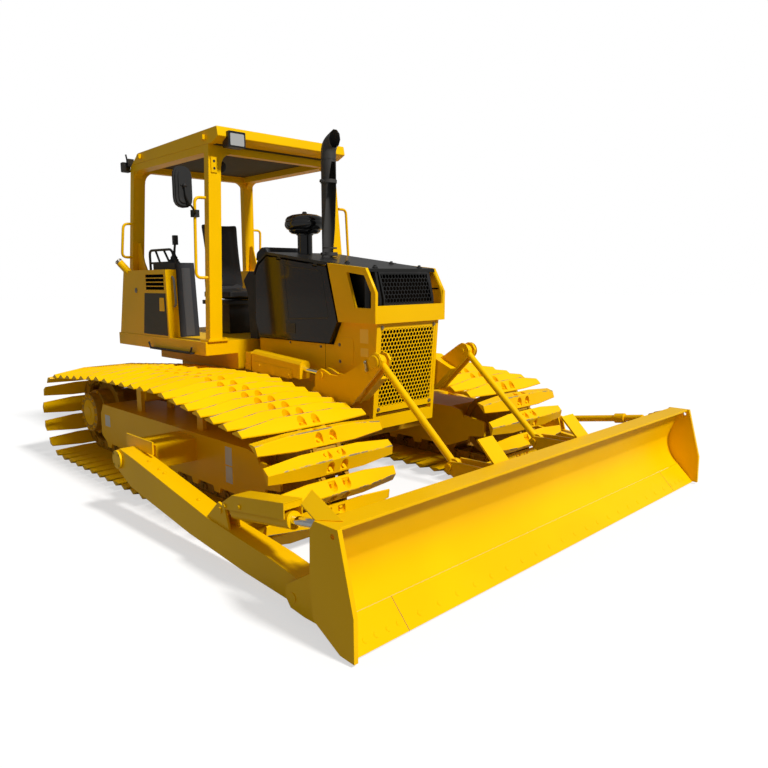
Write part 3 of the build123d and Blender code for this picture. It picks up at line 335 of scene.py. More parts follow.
def make_finishes():
    paint = bpy.context.scene.bulldozer_paint
    yellow, black, door = (tuple(c) for c in (paint.yellow, paint.black, paint.door))
    enamel("yellow_enamel", yellow)
    enamel("shoe_enamel", yellow, 0.38, paint.wear)
    enamel("blade_enamel", yellow, 0.30)
    # name, colour, roughness, grain, scale of the grain, coat, dust
    plastic("black_enamel", black, 0.34, 0.1, 200.0, 0.2)
    # the doors' brown tint is painted reflection of the yellow round them
    plastic("door_gloss", door, 0.10, 0.02, 90.0, 0.25, 0.004)
    plastic("stack_black", (0.046, 0.044, 0.042), 0.42, 0.25, 150.0)
    plastic("bowl_black", (0.008, 0.008, 0.009), 0.10, 0.03, 120.0, 0.8)
    plastic("panel_grey", (0.020, 0.022, 0.028), 0.52, 0.35, 420.0)
    plastic("rubber_black", (0.014, 0.014, 0.014), 0.62, 0.4, 320.0)
    # painted shade: a dead black sheet without dust or reflection, put behind holes and slots where there is
    # only shade, and used for a few dark lines
    plastic("shade_black", (0.004, 0.003, 0.002), 0.8, 0.1, 90.0, 0.0, 0.0)
    plastic("strip_grey", (0.055, 0.055, 0.058), 0.5, 0.2, 300.0)
    plastic("grommet_grey", (0.16, 0.16, 0.15), 0.5, 0.2, 200.0)
    plastic("label_yellow", (0.98, 0.62, 0.02), 0.25, 0.04, 60.0, 0.3)
    plastic("olive_door", (0.042, 0.031, 0.003), 0.4, 0.1, 90.0, 0.0, 0.004)
    plastic("label_white", (0.62, 0.62, 0.56), 0.32, 0.04, 60.0, 0.3)
    # painted shade for the roof's underside: the yellow paint darkened to a few percent
    plastic("roof_underside_shade", (0.060, 0.045, 0.010), 0.7, 0.4, 300.0)
    vinyl("seat_vinyl", (0.010, 0.010, 0.011))
    metal("zinc_bolt", (0.46, 0.44, 0.36), 0.34)
    metal("chrome_rod", (0.78, 0.79, 0.80), 0.08, 0.15)
    metal("dull_steel", (0.30, 0.28, 0.24), 0.45)
    # the running gear's yellow at about half brightness: painted shade down among the rollers
    iron("shade_and_mud_yellow", scaled(yellow, 0.55, 0.5, 0.5))
    iron("cast_dark", (0.05, 0.045, 0.04))
    glass("lamp_glass", (0.42, 0.43, 0.43))
    glass("mirror_glass", (0.03, 0.035, 0.04), 0.02)


# ---------------------------------------------------------------- shapes


def rounded(points, bend, steps=6):
    """The points of a route with its corners rounded."""
    points = [Vector(p) for p in points]
    route = [points[0]]
    for before, corner, after in zip(points, points[1:], points[2:]):
        into, out = before - corner, after - corner
        reach = min(bend, into.length * 0.49, out.length * 0.49)
        first, last = corner + into.normalized() * reach, corner + out.normalized() * reach
        for step in range(steps + 1):
            share = step / steps
            route.append(first.lerp(corner, share).lerp(corner.lerp(last, share), share))
    route.append(points[-1])
    return route


def oblong(low, high):
    """The corners of a flat oblong between two opposite ones."""
    return [low, (high[0], low[1]), high, (low[0], high[1])]


def at_x(x, route):
    """Points in space from (y, z) pairs."""
    return [(x, y, z) for y, z in route]


def upright(x, y, z):
    """Stands a turned profile on a level face."""
    return Matrix.Translation((x, y, z))


def outward(side, x, y, z):
    """Stands a turned profile on a face of the machine's side; x is the face's distance from the middle."""
    return Matrix.Translation((side * x, y, z)) @ Matrix.Rotation(side * math.pi / 2, 4, "Y")


class Shape:
    """A piece in the making: a bmesh with the moves that this machine's pieces need."""

    def __init__(self):
        self.mesh = bmesh.new()

    def block(self, x, y, z):
        """A box: x, y and z are (low, high) pairs."""
        middle = Vector([(a + b) / 2 for a, b in (x, y, z)])
        size = [abs(b - a) for a, b in (x, y, z)]
        matrix = Matrix.Translation(middle) @ Matrix.Diagonal((*size, 1))
        return bmesh.ops.create_cube(self.mesh, size=1, matrix=matrix)["verts"]

    def bar(self, start, end, radius, sides=20, tip=None):
        """A round bar between two points; tip is its radius at the far end."""
        start, end = Vector(start), Vector(end)
        way = end - start
        matrix = Matrix.Translation((start + end) / 2) @ way.to_track_quat("Z", "Y").to_matrix().to_4x4()
        bmesh.ops.create_cone(
            self.mesh, cap_ends=True, segments=sides, radius1=radius, radius2=radius if tip is None else tip,
            depth=way.length, matrix=matrix,
        )

    def ball(self, centre, radius, sides=16):
        place = Matrix.Translation(centre)
        bmesh.ops.create_uvsphere(
            self.mesh, u_segments=sides, v_segments=sides // 2, radius=radius, matrix=place
        )

    def extruded(self, corners, step):
        """A flat face through the corners, carried by a step."""
        face = self.mesh.faces.new([self.mesh.verts.new(corner) for corner in corners])
        made = bmesh.ops.extrude_face_region(self.mesh, geom=[face])["geom"]
        moved = [v for v in made if isinstance(v, bmesh.types.BMVert)]
        bmesh.ops.translate(self.mesh, verts=moved, vec=step)

    def slab(self, outline, axis, start, end):
        """A flat outline, given in the other two axes' order, carried along an axis from start to end."""
        corners = [list(pair) for pair in outline]
        for corner in corners:
            corner.insert(axis, start)
        step = Vector((0, 0, 0))
        step[axis] = end - start
        self.extruded(corners, step)

    def plate(self, corners, axis, start, end, bend):
        """A flat plate whose outline's corners are rounded by bend."""
        route = [corners[-1], *corners, corners[0]]
        bent = []
        for before, corner, after in zip(route, route[1:], route[2:]):
            bent += [tuple(p) for p in rounded([before, corner, after], bend, 4)[1:-1]]
        self.slab(bent, axis, start, end)

    def turned(self, profile, matrix, steps=28):
        """A (radius, height) profile spun round its own Z, then put in place by a matrix."""
        verts = [self.mesh.verts.new((radius, 0, height)) for radius, height in profile]
        edges = [self.mesh.edges.new(pair) for pair in zip(verts, verts[1:])]
        bmesh.ops.spin(
            self.mesh, geom=verts + edges, cent=(0, 0, 0), axis=(0, 0, 1), dvec=(0, 0, 0), angle=2 * math.pi,
            steps=steps, use_merge=True, use_duplicate=False,
        )
        found, seen = set(verts), list(verts)
        while seen:
            near = {vert for edge in seen.pop().link_edges for vert in edge.verts} - found
            found |= near
            seen += near
        poles = [v for v in found if math.hypot(v.co.x, v.co.y) < 1e-6]
        bmesh.ops.transform(self.mesh, matrix=matrix, verts=list(found))
        bmesh.ops.remove_doubles(self.mesh, verts=poles, dist=1e-5)

    def tube(self, points, radius, bend=0.04, ends=True):
        """A bent tube along the points."""
        curve = bpy.data.curves.new("route", "CURVE")
        curve.dimensions = "3D"
        curve.bevel_depth = radius
        curve.bevel_resolution = 3
        curve.use_fill_caps = ends
        route = rounded(points, bend) if bend else [Vector(p) for p in points]
        spline = curve.splines.new("POLY")
        spline.points.add(len(route) - 1)
        for point, place in zip(spline.points, route):
            point.co = (*place, 1)
        maker = bpy.data.objects.new("route", curve)
        mesh = bpy.data.meshes.new_from_object(maker)
        self.mesh.from_mesh(mesh)
        bpy.data.objects.remove(maker)
        bpy.data.curves.remove(curve)
        bpy.data.meshes.remove(mesh)

    def bolt(self, place, way, radius=0.012, height=0.008, washer=True, turn=0.0):
        """A hexagon head standing on a surface, with its washer; way is the surface's outward direction."""
        place, way = Vector(place), Vector(way).normalized()
        if washer:
            self.bar(place - way * 0.001, place + way * 0.0022, radius * 1.35, 14)
            place = place + way * 0.002
        quat = way.to_track_quat("Z", "Y").to_matrix().to_4x4()
        profile = [(0, 0), (radius, 0), (radius, height * 0.8), (radius * 0.86, height), (0, height)]
        self.turned(profile, Matrix.Translation(place) @ quat @ Matrix.Rotation(turn, 4, "Z"), 6)

    def side_bolts(self, side, x, places, radius, height):
        """Bolts on a face of the machine's side, at (y, z) places."""
        for y, z in places:
            self.bolt((side * x, y, z), (side, 0, 0), radius, height)

    def add(self, mesh, matrix):
        """Adds a mesh at a place."""
        start = len(self.mesh.verts)
        self.mesh.from_mesh(mesh)
        self.mesh.verts.ensure_lookup_table()
        bmesh.ops.transform(self.mesh, matrix=matrix, verts=self.mesh.verts[start:])

    def as_mesh(self, name):
        """The shape as a mesh to add again and again."""
        data = bpy.data.meshes.new(name)
        self.mesh.to_mesh(data)
        self.mesh.free()
        return data

    def copy_of(self, node):
        """Adds a CAD node's mesh, its triangles joined back to whole faces."""
        self.mesh.from_mesh(frame["nodes"][node].data)
        bmesh.ops.remove_doubles(self.mesh, verts=list(self.mesh.verts), dist=2e-5)
        flat = math.radians(0.7)
        verts, edges = list(self.mesh.verts), list(self.mesh.edges)
        bmesh.ops.dissolve_limit(
            self.mesh, angle_limit=flat, verts=verts, edges=edges, use_dissolve_boundaries=False
        )

    def soften(self, width):
        """Rounds the edges between clearly turned faces, apart from those too short to round."""
        turned = math.radians(34.0)
        sharp = [
            e for e in self.mesh.edges
            if len(e.link_faces) == 2 and e.calc_face_angle(0.0) > turned and e.calc_length() > width * 1.2
        ]
        bmesh.ops.bevel(
            self.mesh, geom=sharp, offset=width, segments=2, affect="EDGES", profile=0.5, material=-1,
            clamp_overlap=True,
        )

    def cut(self, point, normal):
        """Takes away what lies on the normal's side of a plane."""
        geometry = [*self.mesh.verts, *self.mesh.edges, *self.mesh.faces]
        bmesh.ops.bisect_plane(
            self.mesh, geom=geometry, plane_co=point, plane_no=normal, clear_outer=True, dist=1e-6
        )

    def finish(self, name, body, finish, soften=0.0, smooth=38.0, turn_out=True, slot="yellow_paint"):
        """Makes the piece: rounds its edges, shades it, gives it its finish and lets it ride on its body."""
        if turn_out:
            bmesh.ops.recalc_face_normals(self.mesh, faces=list(self.mesh.faces))
        if soften:
            self.soften(soften)
        for face in self.mesh.faces:
            face.smooth = True
        for edge in self.mesh.edges:
            edge.smooth = len(edge.link_faces) == 2 and edge.calc_face_angle(0.0) < math.radians(smooth)
        data = self.as_mesh(name)
        data.materials.append(FINISHES[finish])
        made = bpy.data.objects.new(name, data)
        bpy.context.scene.collection.objects.link(made)
        if soften:
            made.modifiers.new("even_shading", "WEIGHTED_NORMAL").keep_sharp = True
        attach(made, body)
        return made


def dressed(node, finish, soften, slot="yellow_paint"):
    """Stands for a CAD node with the same form and rounded edges."""
    shape = Shape()
    shape.copy_of(node)
    body = frame["nodes"][node]["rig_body"]
    made = shape.finish(node + "_shell", body, finish, soften, turn_out=False, slot=slot)
    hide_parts(node)


# ---------------------------------------------------------------- tracks

TRACK_X = 1.0435
PIN_DEPTH = 0.040
# how far along the chain each side's first shoe sits
SHOE_START = {-1: 0.125, 1: 0.078}
# each circle that the chain's pins follow: y, z, radius, front idler first
TRACK_CIRCLES = (
    (-0.930, 0.400, 0.292),
    (0.060, 0.711, 0.111),
    (1.030, 0.701, 0.111),
    (1.943, 0.423, 0.315),
)
SHOE_TAPER = 0.27
END_RIDGE = 0.028
# a shoe's bolts: distance from its middle, from its ridge line, and the floor and radius of their pockets
BOLT_X, BOLT_Y, POCKET_FLOOR, POCKET_RADIUS = 0.055, 0.040, 0.012, 0.029


def belt_stretches():
    """The chain's tangent runs and arcs round its circles."""
    after = TRACK_CIRCLES[1:] + TRACK_CIRCLES[:1]
    touch = []
    for (y0, z0, r0), (y1, z1, r1) in zip(TRACK_CIRCLES, after):
        touch.append(math.atan2(z1 - z0, y1 - y0) + math.acos((r0 - r1) / math.hypot(y1 - y0, z1 - z0)))
    stretches = []
    for index, ((y0, z0, r0), (y1, z1, r1)) in enumerate(zip(TRACK_CIRCLES, after)):
        start, end = touch[index - 1], touch[index]
        while end > start:
            end -= 2 * math.pi
        while start - end > 2 * math.pi:
            end += 2 * math.pi
        stretches.append(("arc", (y0, z0), r0, start, r0 * (start - end)))
        first = (y0 + r0 * math.cos(end), z0 + r0 * math.sin(end))
        last = (y1 + r1 * math.cos(end), z1 + r1 * math.sin(end))
        stretches.append(("run", first, last, end, math.dist(first, last)))
    return stretches


def belt_station(stretches, travel):
    """Where a pin is at a distance along the chain, and which way faces out."""
    for kind, first, last, start, length in stretches:
        if travel <= length:
            if kind == "run":
                share = travel / length
                return first[0] + share * (last[0] - first[0]), first[1] + share * (last[1] - first[1]), start
            angle = start - travel / last
            return first[0] + last * math.cos(angle), first[1] + last * math.sin(angle), angle
        travel -= length
    return belt_station(stretches, travel)


def shoe_shape(settings):
    """One swamp shoe with its base on the ground plane and its ridge up, lying along X."""
    half, ridge = settings.width / 2, settings.ridge
    base, end_base, flat, thick = 0.075, 0.050, 0.0035, 0.004
    shape = Shape()
    rings = []
    for x, foot, top in ((-half, end_base, END_RIDGE), (-half + SHOE_TAPER, base, ridge),
                         (half - SHOE_TAPER, base, ridge), (half, end_base, END_RIDGE)):
        ring = ((-foot, thick), (-flat, top), (flat, top), (foot, thick), (foot, -thick), (-foot, -thick))
        rings.append([shape.mesh.verts.new(p) for p in at_x(x, ring)])
    edges = [[shape.mesh.edges.new(pair) for pair in zip(ring, ring[1:] + ring[:1])] for ring in rings]
    for first, second in zip(edges, edges[1:]):
        bmesh.ops.bridge_loops(shape.mesh, edges=first + second)
    for ring in (rings[0], rings[-1]):
        shape.mesh.faces.new(ring)
    bmesh.ops.recalc_face_normals(shape.mesh, faces=list(shape.mesh.faces))
    return shape


def pocketed(shape, settings):
    """The shoe with two round-headed bolt pockets sunk in each flank, by a boolean cut."""
    spots = [(x, flank) for x in (-BOLT_X, BOLT_X) for flank in (-1, 1)]
    cutter = Shape()
    over, beyond = 0.12, 0.095
    for x, flank in spots:
        y = flank * BOLT_Y
        cutter.bar((x, y, POCKET_FLOOR), (x, y, over), POCKET_RADIUS, 18)
        cutter.block((x - POCKET_RADIUS, x + POCKET_RADIUS), (y, flank * beyond), (POCKET_FLOOR, over))
    solid = bpy.data.objects.new("shoe", shape.as_mesh("shoe"))
    knife = bpy.data.objects.new("pockets", cutter.as_mesh("pockets"))
    for thing in (solid, knife):
        bpy.context.scene.collection.objects.link(thing)
    cut = solid.modifiers.new("pockets", "BOOLEAN")
    cut.operation, cut.solver, cut.object, cut.use_self = "DIFFERENCE", "EXACT", knife, True
    bpy.context.view_layer.update()
    made = bpy.data.meshes.new_from_object(solid.evaluated_get(bpy.context.evaluated_depsgraph_get()))
    for thing in (solid, knife):
        bpy.data.objects.remove(thing)
    done = Shape()
    done.mesh.from_mesh(made)
    layer = done.mesh.verts.layers.float.new("ridge")
    straight = settings.width / 2 - SHOE_TAPER
    for vert in done.mesh.verts:
        share = min(1.0, max(0.0, (abs(vert.co.x) - straight) / SHOE_TAPER))
        vert[layer] = max(0.0, vert.co.z / (settings.ridge + (END_RIDGE - settings.ridge) * share))
    for x, flank in spots:
        head = bmesh.ops.create_cone(
            done.mesh, cap_ends=True, segments=6, radius1=0.0135, radius2=0.0125, depth=0.014,
            matrix=Matrix.Translation((x, flank * (BOLT_Y + 0.004), POCKET_FLOOR + 0.006)),
        )["verts"]
        for vert in head:
            vert[layer] = 0.5
    return done


def link_shape():
    """One pair of chain links with its bushing and pin, its base plane at 0 as the shoe's, pins below it."""
    shape = Shape()
    pin, reach, pin_y = -PIN_DEPTH, 0.088, 0.062
    for rail in (-1, 1):
        outline = ((-reach, pin - 0.030), (-0.055, pin - 0.036), (0.055, pin - 0.036), (reach, pin - 0.030),
                   (0.096, pin), (0.078, -0.006), (-0.078, -0.006), (-0.096, pin))
        shape.slab(outline, X, rail * 0.080, rail * 0.110)
        for y in (-pin_y, pin_y):
            shape.bar((rail * 0.107, y, pin), (rail * 0.122, y, pin), 0.024, 10)
    shape.bar((-0.08, -pin_y, pin), (0.08, -pin_y, pin), 0.027, 12)
    shape.block((-0.125, 0.125), (-0.05, 0.05), (-0.008, -0.002))
    return shape


class BULLDOZER_OT_tracks(bpy.types.Operator):
    """Makes the two tracks: swamp shoes with worn ridges on a chain of links"""

    bl_idname = "bulldozer.tracks"
    bl_label = "Tracks"

    def execute(self, context):
        settings = context.scene.bulldozer_track
        stretches = belt_stretches()
        pitch = sum(stretch[-1] for stretch in stretches) / settings.shoes
        shoe = pocketed(shoe_shape(settings), settings).as_mesh("one_shoe")
        link = link_shape().as_mesh("one_link")
        for side, name in SIDES:
            shoes, chain = Shape(), Shape()
            shoes.mesh.verts.layers.float.new("ridge")
            for number in range(settings.shoes):
                y, z, way = belt_station(stretches, number * pitch + SHOE_START[side])
                place = (side * TRACK_X, y + PIN_DEPTH * math.cos(way), z + PIN_DEPTH * math.sin(way))
                matrix = Matrix.Translation(place) @ Matrix.Rotation(way - math.pi / 2, 4, "X")
                shoes.add(shoe, matrix)
                chain.add(link, matrix)
            made = shoes.finish(f"track_shoes_{name}", "root", "shoe_enamel", smooth=30.0)
            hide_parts(f"track_{name}")
            chain.finish(f"track_chain_{name}", "root", "shade_and_mud_yellow", smooth=30.0)
        return {"FINISHED"}


def hub_bolts(side, name):
    """The final drive's cover with bolts round it, and half as many wider out and set back."""
    low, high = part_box(f"sprocket_{name}")
    y, z = TRACK_CIRCLES[3][:2]
    face = max(abs(low.x), abs(high.x))
    bolts = Shape()
    cover = [(0, 0.010), (0.05, 0.010), (0.055, 0.004), (0.118, 0.004), (0.122, -0.004), (0, -0.004)]
    bolts.turned(cover, outward(side, face, y, z), 32)
    count = 14
    for number in range(count):
        turn = 2 * math.pi * number / count
        for radius, out in ((0.155, 0.0),) if number % 2 else ((0.155, 0.0), (0.192, -0.070)):
            place = (side * (face + out), y + radius * math.cos(turn), z + radius * math.sin(turn))
            bolts.bolt(place, (side, 0, 0), 0.011, 0.010, turn=turn)
    bolts.finish(f"hub_bolts_{name}", "root", "yellow_enamel")


def frame_labels(side, name):
    """Blank labels on the track frame's outer wall."""
    labels = Shape()
    wall = side * (TRACK_X + 0.226)
    front, rear = (-0.470, -0.390), (1.46, 1.56)
    for y, z in ((front, (0.395, 0.520)), (front, (0.270, 0.385)), (rear, (0.36, 0.46))):
        labels.block((wall, wall + side * 0.0012), y, z)
    labels.finish(f"frame_labels_{name}", "root", "label_white", slot="cast_iron")


class BULLDOZER_OT_running_gear(bpy.types.Operator):
    """Dresses the idlers, sprockets, rollers and track frames"""

    bl_idname = "bulldozer.running_gear"
    bl_label = "Running gear"

    def execute(self, context):
        for side, name in SIDES:
            dressed(f"idler_{name}", "shade_and_mud_yellow", 0.003)
            dressed(f"sprocket_{name}", "shade_and_mud_yellow", 0.003)
            dressed(f"track_frame_{name}", "yellow_enamel", 0.003)
            hub_bolts(side, name)
            frame_labels(side, name)
        return {"FINISHED"}


# ---------------------------------------------------------------- blade and arms

# the cutting edge's front face, from its lower to its upper line, and the way it faces
EDGE_LOW, EDGE_TOP = Vector((0, -2.270, 0.015)), Vector((0, -2.150, 0.145))
EDGE_RUN = (EDGE_TOP - EDGE_LOW).normalized()
EDGE_OUT = Vector((0, -EDGE_RUN.z, EDGE_RUN.y))


def edge_bolts():
    """Flush bolts along the cutting edge: four close together at each end, the rest evenly spaced."""
    ends = (1.744, 1.674, 1.597, 1.527)
    middle = [0.073 + 0.1455 * number for number in range(10)]
    bolts = Shape()
    for x in [side * across for side in (-1, 1) for across in (*ends, *middle)]:
        place = EDGE_LOW + EDGE_RUN * 0.052 + EDGE_OUT * 0.0005 + Vector((x, 0, 0))
        bolts.bar(place - EDGE_OUT * 0.002, place + EDGE_OUT * 0.0014, 0.0150, 18, tip=0.0135)
    bolts.finish("edge_bolts", "blade", "blade_enamel")


def edge_seams():
    """The fine joints between the cutting edge's segments."""
    seams = Shape()
    lean = Matrix.Rotation(math.atan2(EDGE_RUN.z, EDGE_RUN.y), 4, "X")
    for x in (-1.490, 1.490):
        place = EDGE_LOW + EDGE_RUN * 0.088 + EDGE_OUT * 0.0002 + Vector((x, 0, 0))
        verts = seams.block((-0.0012, 0.0012), (-0.087, 0.087), (-0.0006, 0.0006))
        bmesh.ops.transform(seams.mesh, matrix=Matrix.Translation(place) @ lean, verts=verts)
    seams.finish("edge_seams", "blade", "cast_dark", slot="cast_iron")


def tilt_eye_guard():
    """A twisted plate that rises from the blade's top flange over the tilt rod's eye."""
    guard = Shape()
    corners = (
        (-1.866, -2.050, 0.590),
        (-1.800, -1.869, 0.603),
        (-1.760, -1.903, 0.673),
        (-1.790, -2.148, 0.592),
    )
    guard.extruded(corners, (0.007, 0.009, -0.010))
    guard.finish("tilt_eye_guard", "blade", "blade_enamel", 0.002)


class BULLDOZER_OT_blade(bpy.types.Operator):
    """Dresses the blade and its cutting edge, and adds the edge's bolts and seams and the tilt eye's guard"""

    bl_idname = "bulldozer.blade"
    bl_label = "Blade"

    def execute(self, context):
        dressed("blade", "blade_enamel", 0.003)
        dressed("cutting_edge", "blade_enamel", 0.0006)
        edge_bolts()
        edge_seams()
        tilt_eye_guard()
        return {"FINISHED"}


def arm_top(y):
    """Height of a push arm's top face, found on the CAD mesh."""
    mesh = frame["nodes"]["push_arm_right"].data
    heights = [v.co.z for v in mesh.vertices if abs(v.co.y - y) < 0.001]
    for edge in mesh.edges:
        first, second = (mesh.vertices[index].co for index in edge.vertices)
        if min(first.y, second.y) <= y <= max(first.y, second.y) and first.y != second.y:
            share = (y - first.y) / (second.y - first.y)
            heights.append(first.z + share * (second.z - first.z))
    return max(heights)


def cylinder_middle(y):
    """Height of the tilt cylinder's axis."""
    return 0.384 + (-1.077 - y) * 0.1485


def trunnion_bolts():
    caps = Shape()
    for side in (-1, 1):
        caps.side_bolts(side, 1.7883, [(y, z) for y in (0.110, 0.182) for z in (0.385, 0.459)], 0.010, 0.008)
    caps.finish("trunnion_bolts", "arm_caps", "yellow_enamel")


def arm_bosses(side, name):
    """The boss of an arm's front pin and the bolts on the arm's top."""
    bosses = Shape()
    boss = [(0, 0), (0.058, 0), (0.058, 0.005), (0.030, 0.008), (0.030, 0.012), (0, 0.012)]
    bosses.turned(boss, outward(side, 1.7800, -1.816, 0.129))
    for y in (-0.16, -0.30, -0.37, -0.78):
        bosses.bolt((side * 1.710, y, arm_top(y)), (0, 0, 1), 0.010, 0.007)
    bosses.finish(f"arm_bosses_{name}", f"push_arm_{name}", "yellow_enamel", 0.001)


def tilt_cover():
    """The sheet cover over the tilt cylinder: two cheeks, a lid that slopes down at the rear, and a front."""
    rear, crease, front = -1.170, -1.270, -1.722
    right, left, sheet, inset, tall = -1.7900, -1.6720, 0.006, 0.0058, 0.088
    foot = cylinder_middle(rear)
    crest = [(y, cylinder_middle(y) + tall) for y in (crease, front)]
    cheek = [(rear, foot + 0.004), (rear, foot + 0.040), *crest, (front, cylinder_middle(front) + 0.004)]
    lid = [(rear, foot + 0.034), (rear, foot + 0.040), *crest, *[(y, z - sheet) for y, z in crest[::-1]]]
    cover = Shape()
    cover.slab(cheek, X, right, right + sheet)
    cover.slab(cheek, X, left - sheet, left)
    cover.slab(lid, X, right + inset, left - inset)
    heights = (cylinder_middle(front) + 0.049, cylinder_middle(front) + tall - 0.003)
    cover.block((right + inset, left - inset), (front, front + sheet), heights)
    for y, lift in ((rear - 0.03, 0.022), (rear - 0.17, 0.03)):
        cover.bolt((right, y, cylinder_middle(y) + lift), (-1, 0, 0), 0.012, 0.008)
    cover.finish("tilt_cover", "tilt_cylinder", "yellow_enamel", 0.004)


class BULLDOZER_OT_arms(bpy.types.Operator):
    """Dresses the push arms, trunnion caps, tilt cylinder and brace"""

    bl_idname = "bulldozer.arms"
    bl_label = "Push arms"

    def execute(self, context):
        for side, name in SIDES:
            dressed(f"push_arm_{name}", "yellow_enamel", 0.004)
        dressed("trunnion_caps", "yellow_enamel", 0.003)
        dressed("tilt_cylinder", "yellow_enamel", 0.003)
        dressed("brace", "yellow_enamel", 0.002)
        trunnion_bolts()
        for side, name in SIDES:
            arm_bosses(side, name)
        tilt_cover()
        return {"FINISHED"}


def lift_skirt(side, name):
    """The plate that hangs beside a lift cylinder, with its two bolts."""
    inner, outer = 0.5158, 0.5208
    skirt = Shape()
    outline = ((0.350, 0.886), (-0.172, 0.876), (-0.176, 0.945), (0.350, 0.975))
    skirt.plate(outline, X, side * inner, side * outer, 0.012)
    skirt.side_bolts(side, outer, ((0.240, 0.945), (-0.140, 0.905)), 0.009, 0.006)
    skirt.finish(f"lift_skirt_{name}", f"lift_cylinder_{name}", "yellow_enamel", 0.002)


def crank_tip(side, name):
    """The pin's head and collar at the crank's upper end."""
    place = outward(side, 0.5215, -1.068, 1.082)
    tip = Shape()
    tip.turned([(0, 0), (0.046, 0), (0.046, 0.006), (0.040, 0.012), (0, 0.012)], place)
    tip.turned([(0.046, -0.001), (0.060, -0.001), (0.060, 0.004), (0.046, 0.004)], place)
    tip.finish(f"crank_tip_{name}", f"crank_{name}", "yellow_enamel", 0.001)


def crank_keeper(side, name):
    """The plated strip that keeps the crank's pin from turning."""
    outer = 0.5260
    keeper = Shape()
    outline = ((-0.972, 1.082), (-0.988, 1.086), (-1.006, 1.012), (-0.990, 1.006))
    keeper.slab(outline, X, side * 0.5185, side * outer)
    keeper.side_bolts(side, outer, ((-0.984, 1.072), (-0.996, 1.022)), 0.009, 0.007)
    keeper.finish(f"crank_keeper_{name}", f"crank_{name}", "zinc_bolt", 0.001, slot="steel")


class BULLDOZER_OT_lift(bpy.types.Operator):
    """Dresses the bell cranks, link rods and lift cylinders"""

    bl_idname = "bulldozer.lift"
    bl_label = "Lift linkage"

    def execute(self, context):
        for side, name in SIDES:
            dressed(f"crank_{name}", "yellow_enamel", 0.004)
            dressed(f"link_{name}", "yellow_enamel", 0.002)
            dressed(f"lift_cylinder_{name}", "yellow_enamel", 0.003)
            lift_skirt(side, name)
            crank_tip(side, name)
            crank_keeper(side, name)
        return {"FINISHED"}


# ---------------------------------------------------------------- grilles

SHEET = 0.003


def holed_sheet(width, height, pitch, hole, sides):
    """A sheet with staggered holes, standing in X and Z round the origin, its front at y 0."""
    row = pitch * math.sqrt(3) / 2
    cell = Shape()
    bmesh.ops.create_circle(cell.mesh, segments=6, radius=pitch / math.sqrt(3))
    bmesh.ops.create_circle(cell.mesh, segments=sides, radius=hole)
    bmesh.ops.bridge_loops(cell.mesh, edges=list(cell.mesh.edges))
    bmesh.ops.transform(cell.mesh, matrix=Matrix.Rotation(math.pi / 2, 4, "X"), verts=list(cell.mesh.verts))
    one = cell.as_mesh("cell")
    sheet = Shape()
    rows, columns = int(height / row / 2) + 2, int(width / pitch / 2) + 2
    for line in range(-rows, rows + 1):
        for column in range(-columns, columns + 1):
            shift = (column + (0.5 if line % 2 else 0)) * pitch
            sheet.add(one, Matrix.Translation((shift, 0, line * row)))
    bmesh.ops.remove_doubles(sheet.mesh, verts=list(sheet.mesh.verts), dist=1e-4)
    for way in (-1, 1):
        sheet.cut((way * width / 2, 0, 0), (way, 0, 0))
        sheet.cut((0, 0, way * height / 2), (0, 0, way))
    bmesh.ops.recalc_face_normals(sheet.mesh, faces=list(sheet.mesh.faces))
    if next(iter(sheet.mesh.faces)).normal.y > 0:
        bmesh.ops.reverse_faces(sheet.mesh, faces=list(sheet.mesh.faces))
    bmesh.ops.solidify(sheet.mesh, geom=list(sheet.mesh.faces), thickness=SHEET)
    return sheet


def lean_back(shape):
    """Leans a shape, made with the guard's front at y 0, onto the guard's sloping front."""
    foot_y, foot_z, slope = -0.853, 0.551, 0.051 / 0.767
    for vert in shape.mesh.verts:
        vert.co.y += foot_y - (vert.co.z - foot_z) * slope


def front_grille(settings):
    """The yellow sheet with round holes in its flat rim, its bolts, and a black sheet behind it as painted
    shade.
    """
    low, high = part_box("front_grille")
    middle, size = (low + high) / 2, high - low
    side_rim, end_rim, rim_y = 0.020, 0.044, (0.0003, 0.0045)
    grille = holed_sheet(
        size.x - 2 * side_rim, size.z - 2 * end_rim, settings.front_pitch, settings.front_hole, 12
    )
    bmesh.ops.translate(grille.mesh, verts=list(grille.mesh.verts), vec=(middle.x, 0.0005, middle.z))
    for x in ((low.x, low.x + side_rim), (high.x - side_rim, high.x)):
        grille.block(x, rim_y, (low.z, high.z))
    for z in ((low.z, low.z + end_rim), (high.z - end_rim, high.z)):
        grille.block((low.x + side_rim, high.x - side_rim), rim_y, z)
    lean_back(grille)
    made = grille.finish("front_grille_sheet", "root", "yellow_enamel", smooth=30.0, turn_out=False)
    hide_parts("front_grille")
    bolts = Shape()
    for x in (low.x + 0.022, high.x - 0.022):
        for z in (low.z + 0.026, high.z - 0.030):
            bolts.bolt((x, 0.0, z), (0, -1, 0), 0.011, 0.009)
    lean_back(bolts)
    bolts.finish("grille_bolts", "root", "zinc_bolt", slot="steel")
    # Painted shade: a black sheet behind the grille's holes.
    shade = Shape()
    shade.block((low.x + 0.03, high.x - 0.03), (0.018, 0.022), (low.z + 0.01, high.z - 0.01))
    lean_back(shade)
    shade.finish("grille_shade", "root", "shade_black", slot="black_paint")


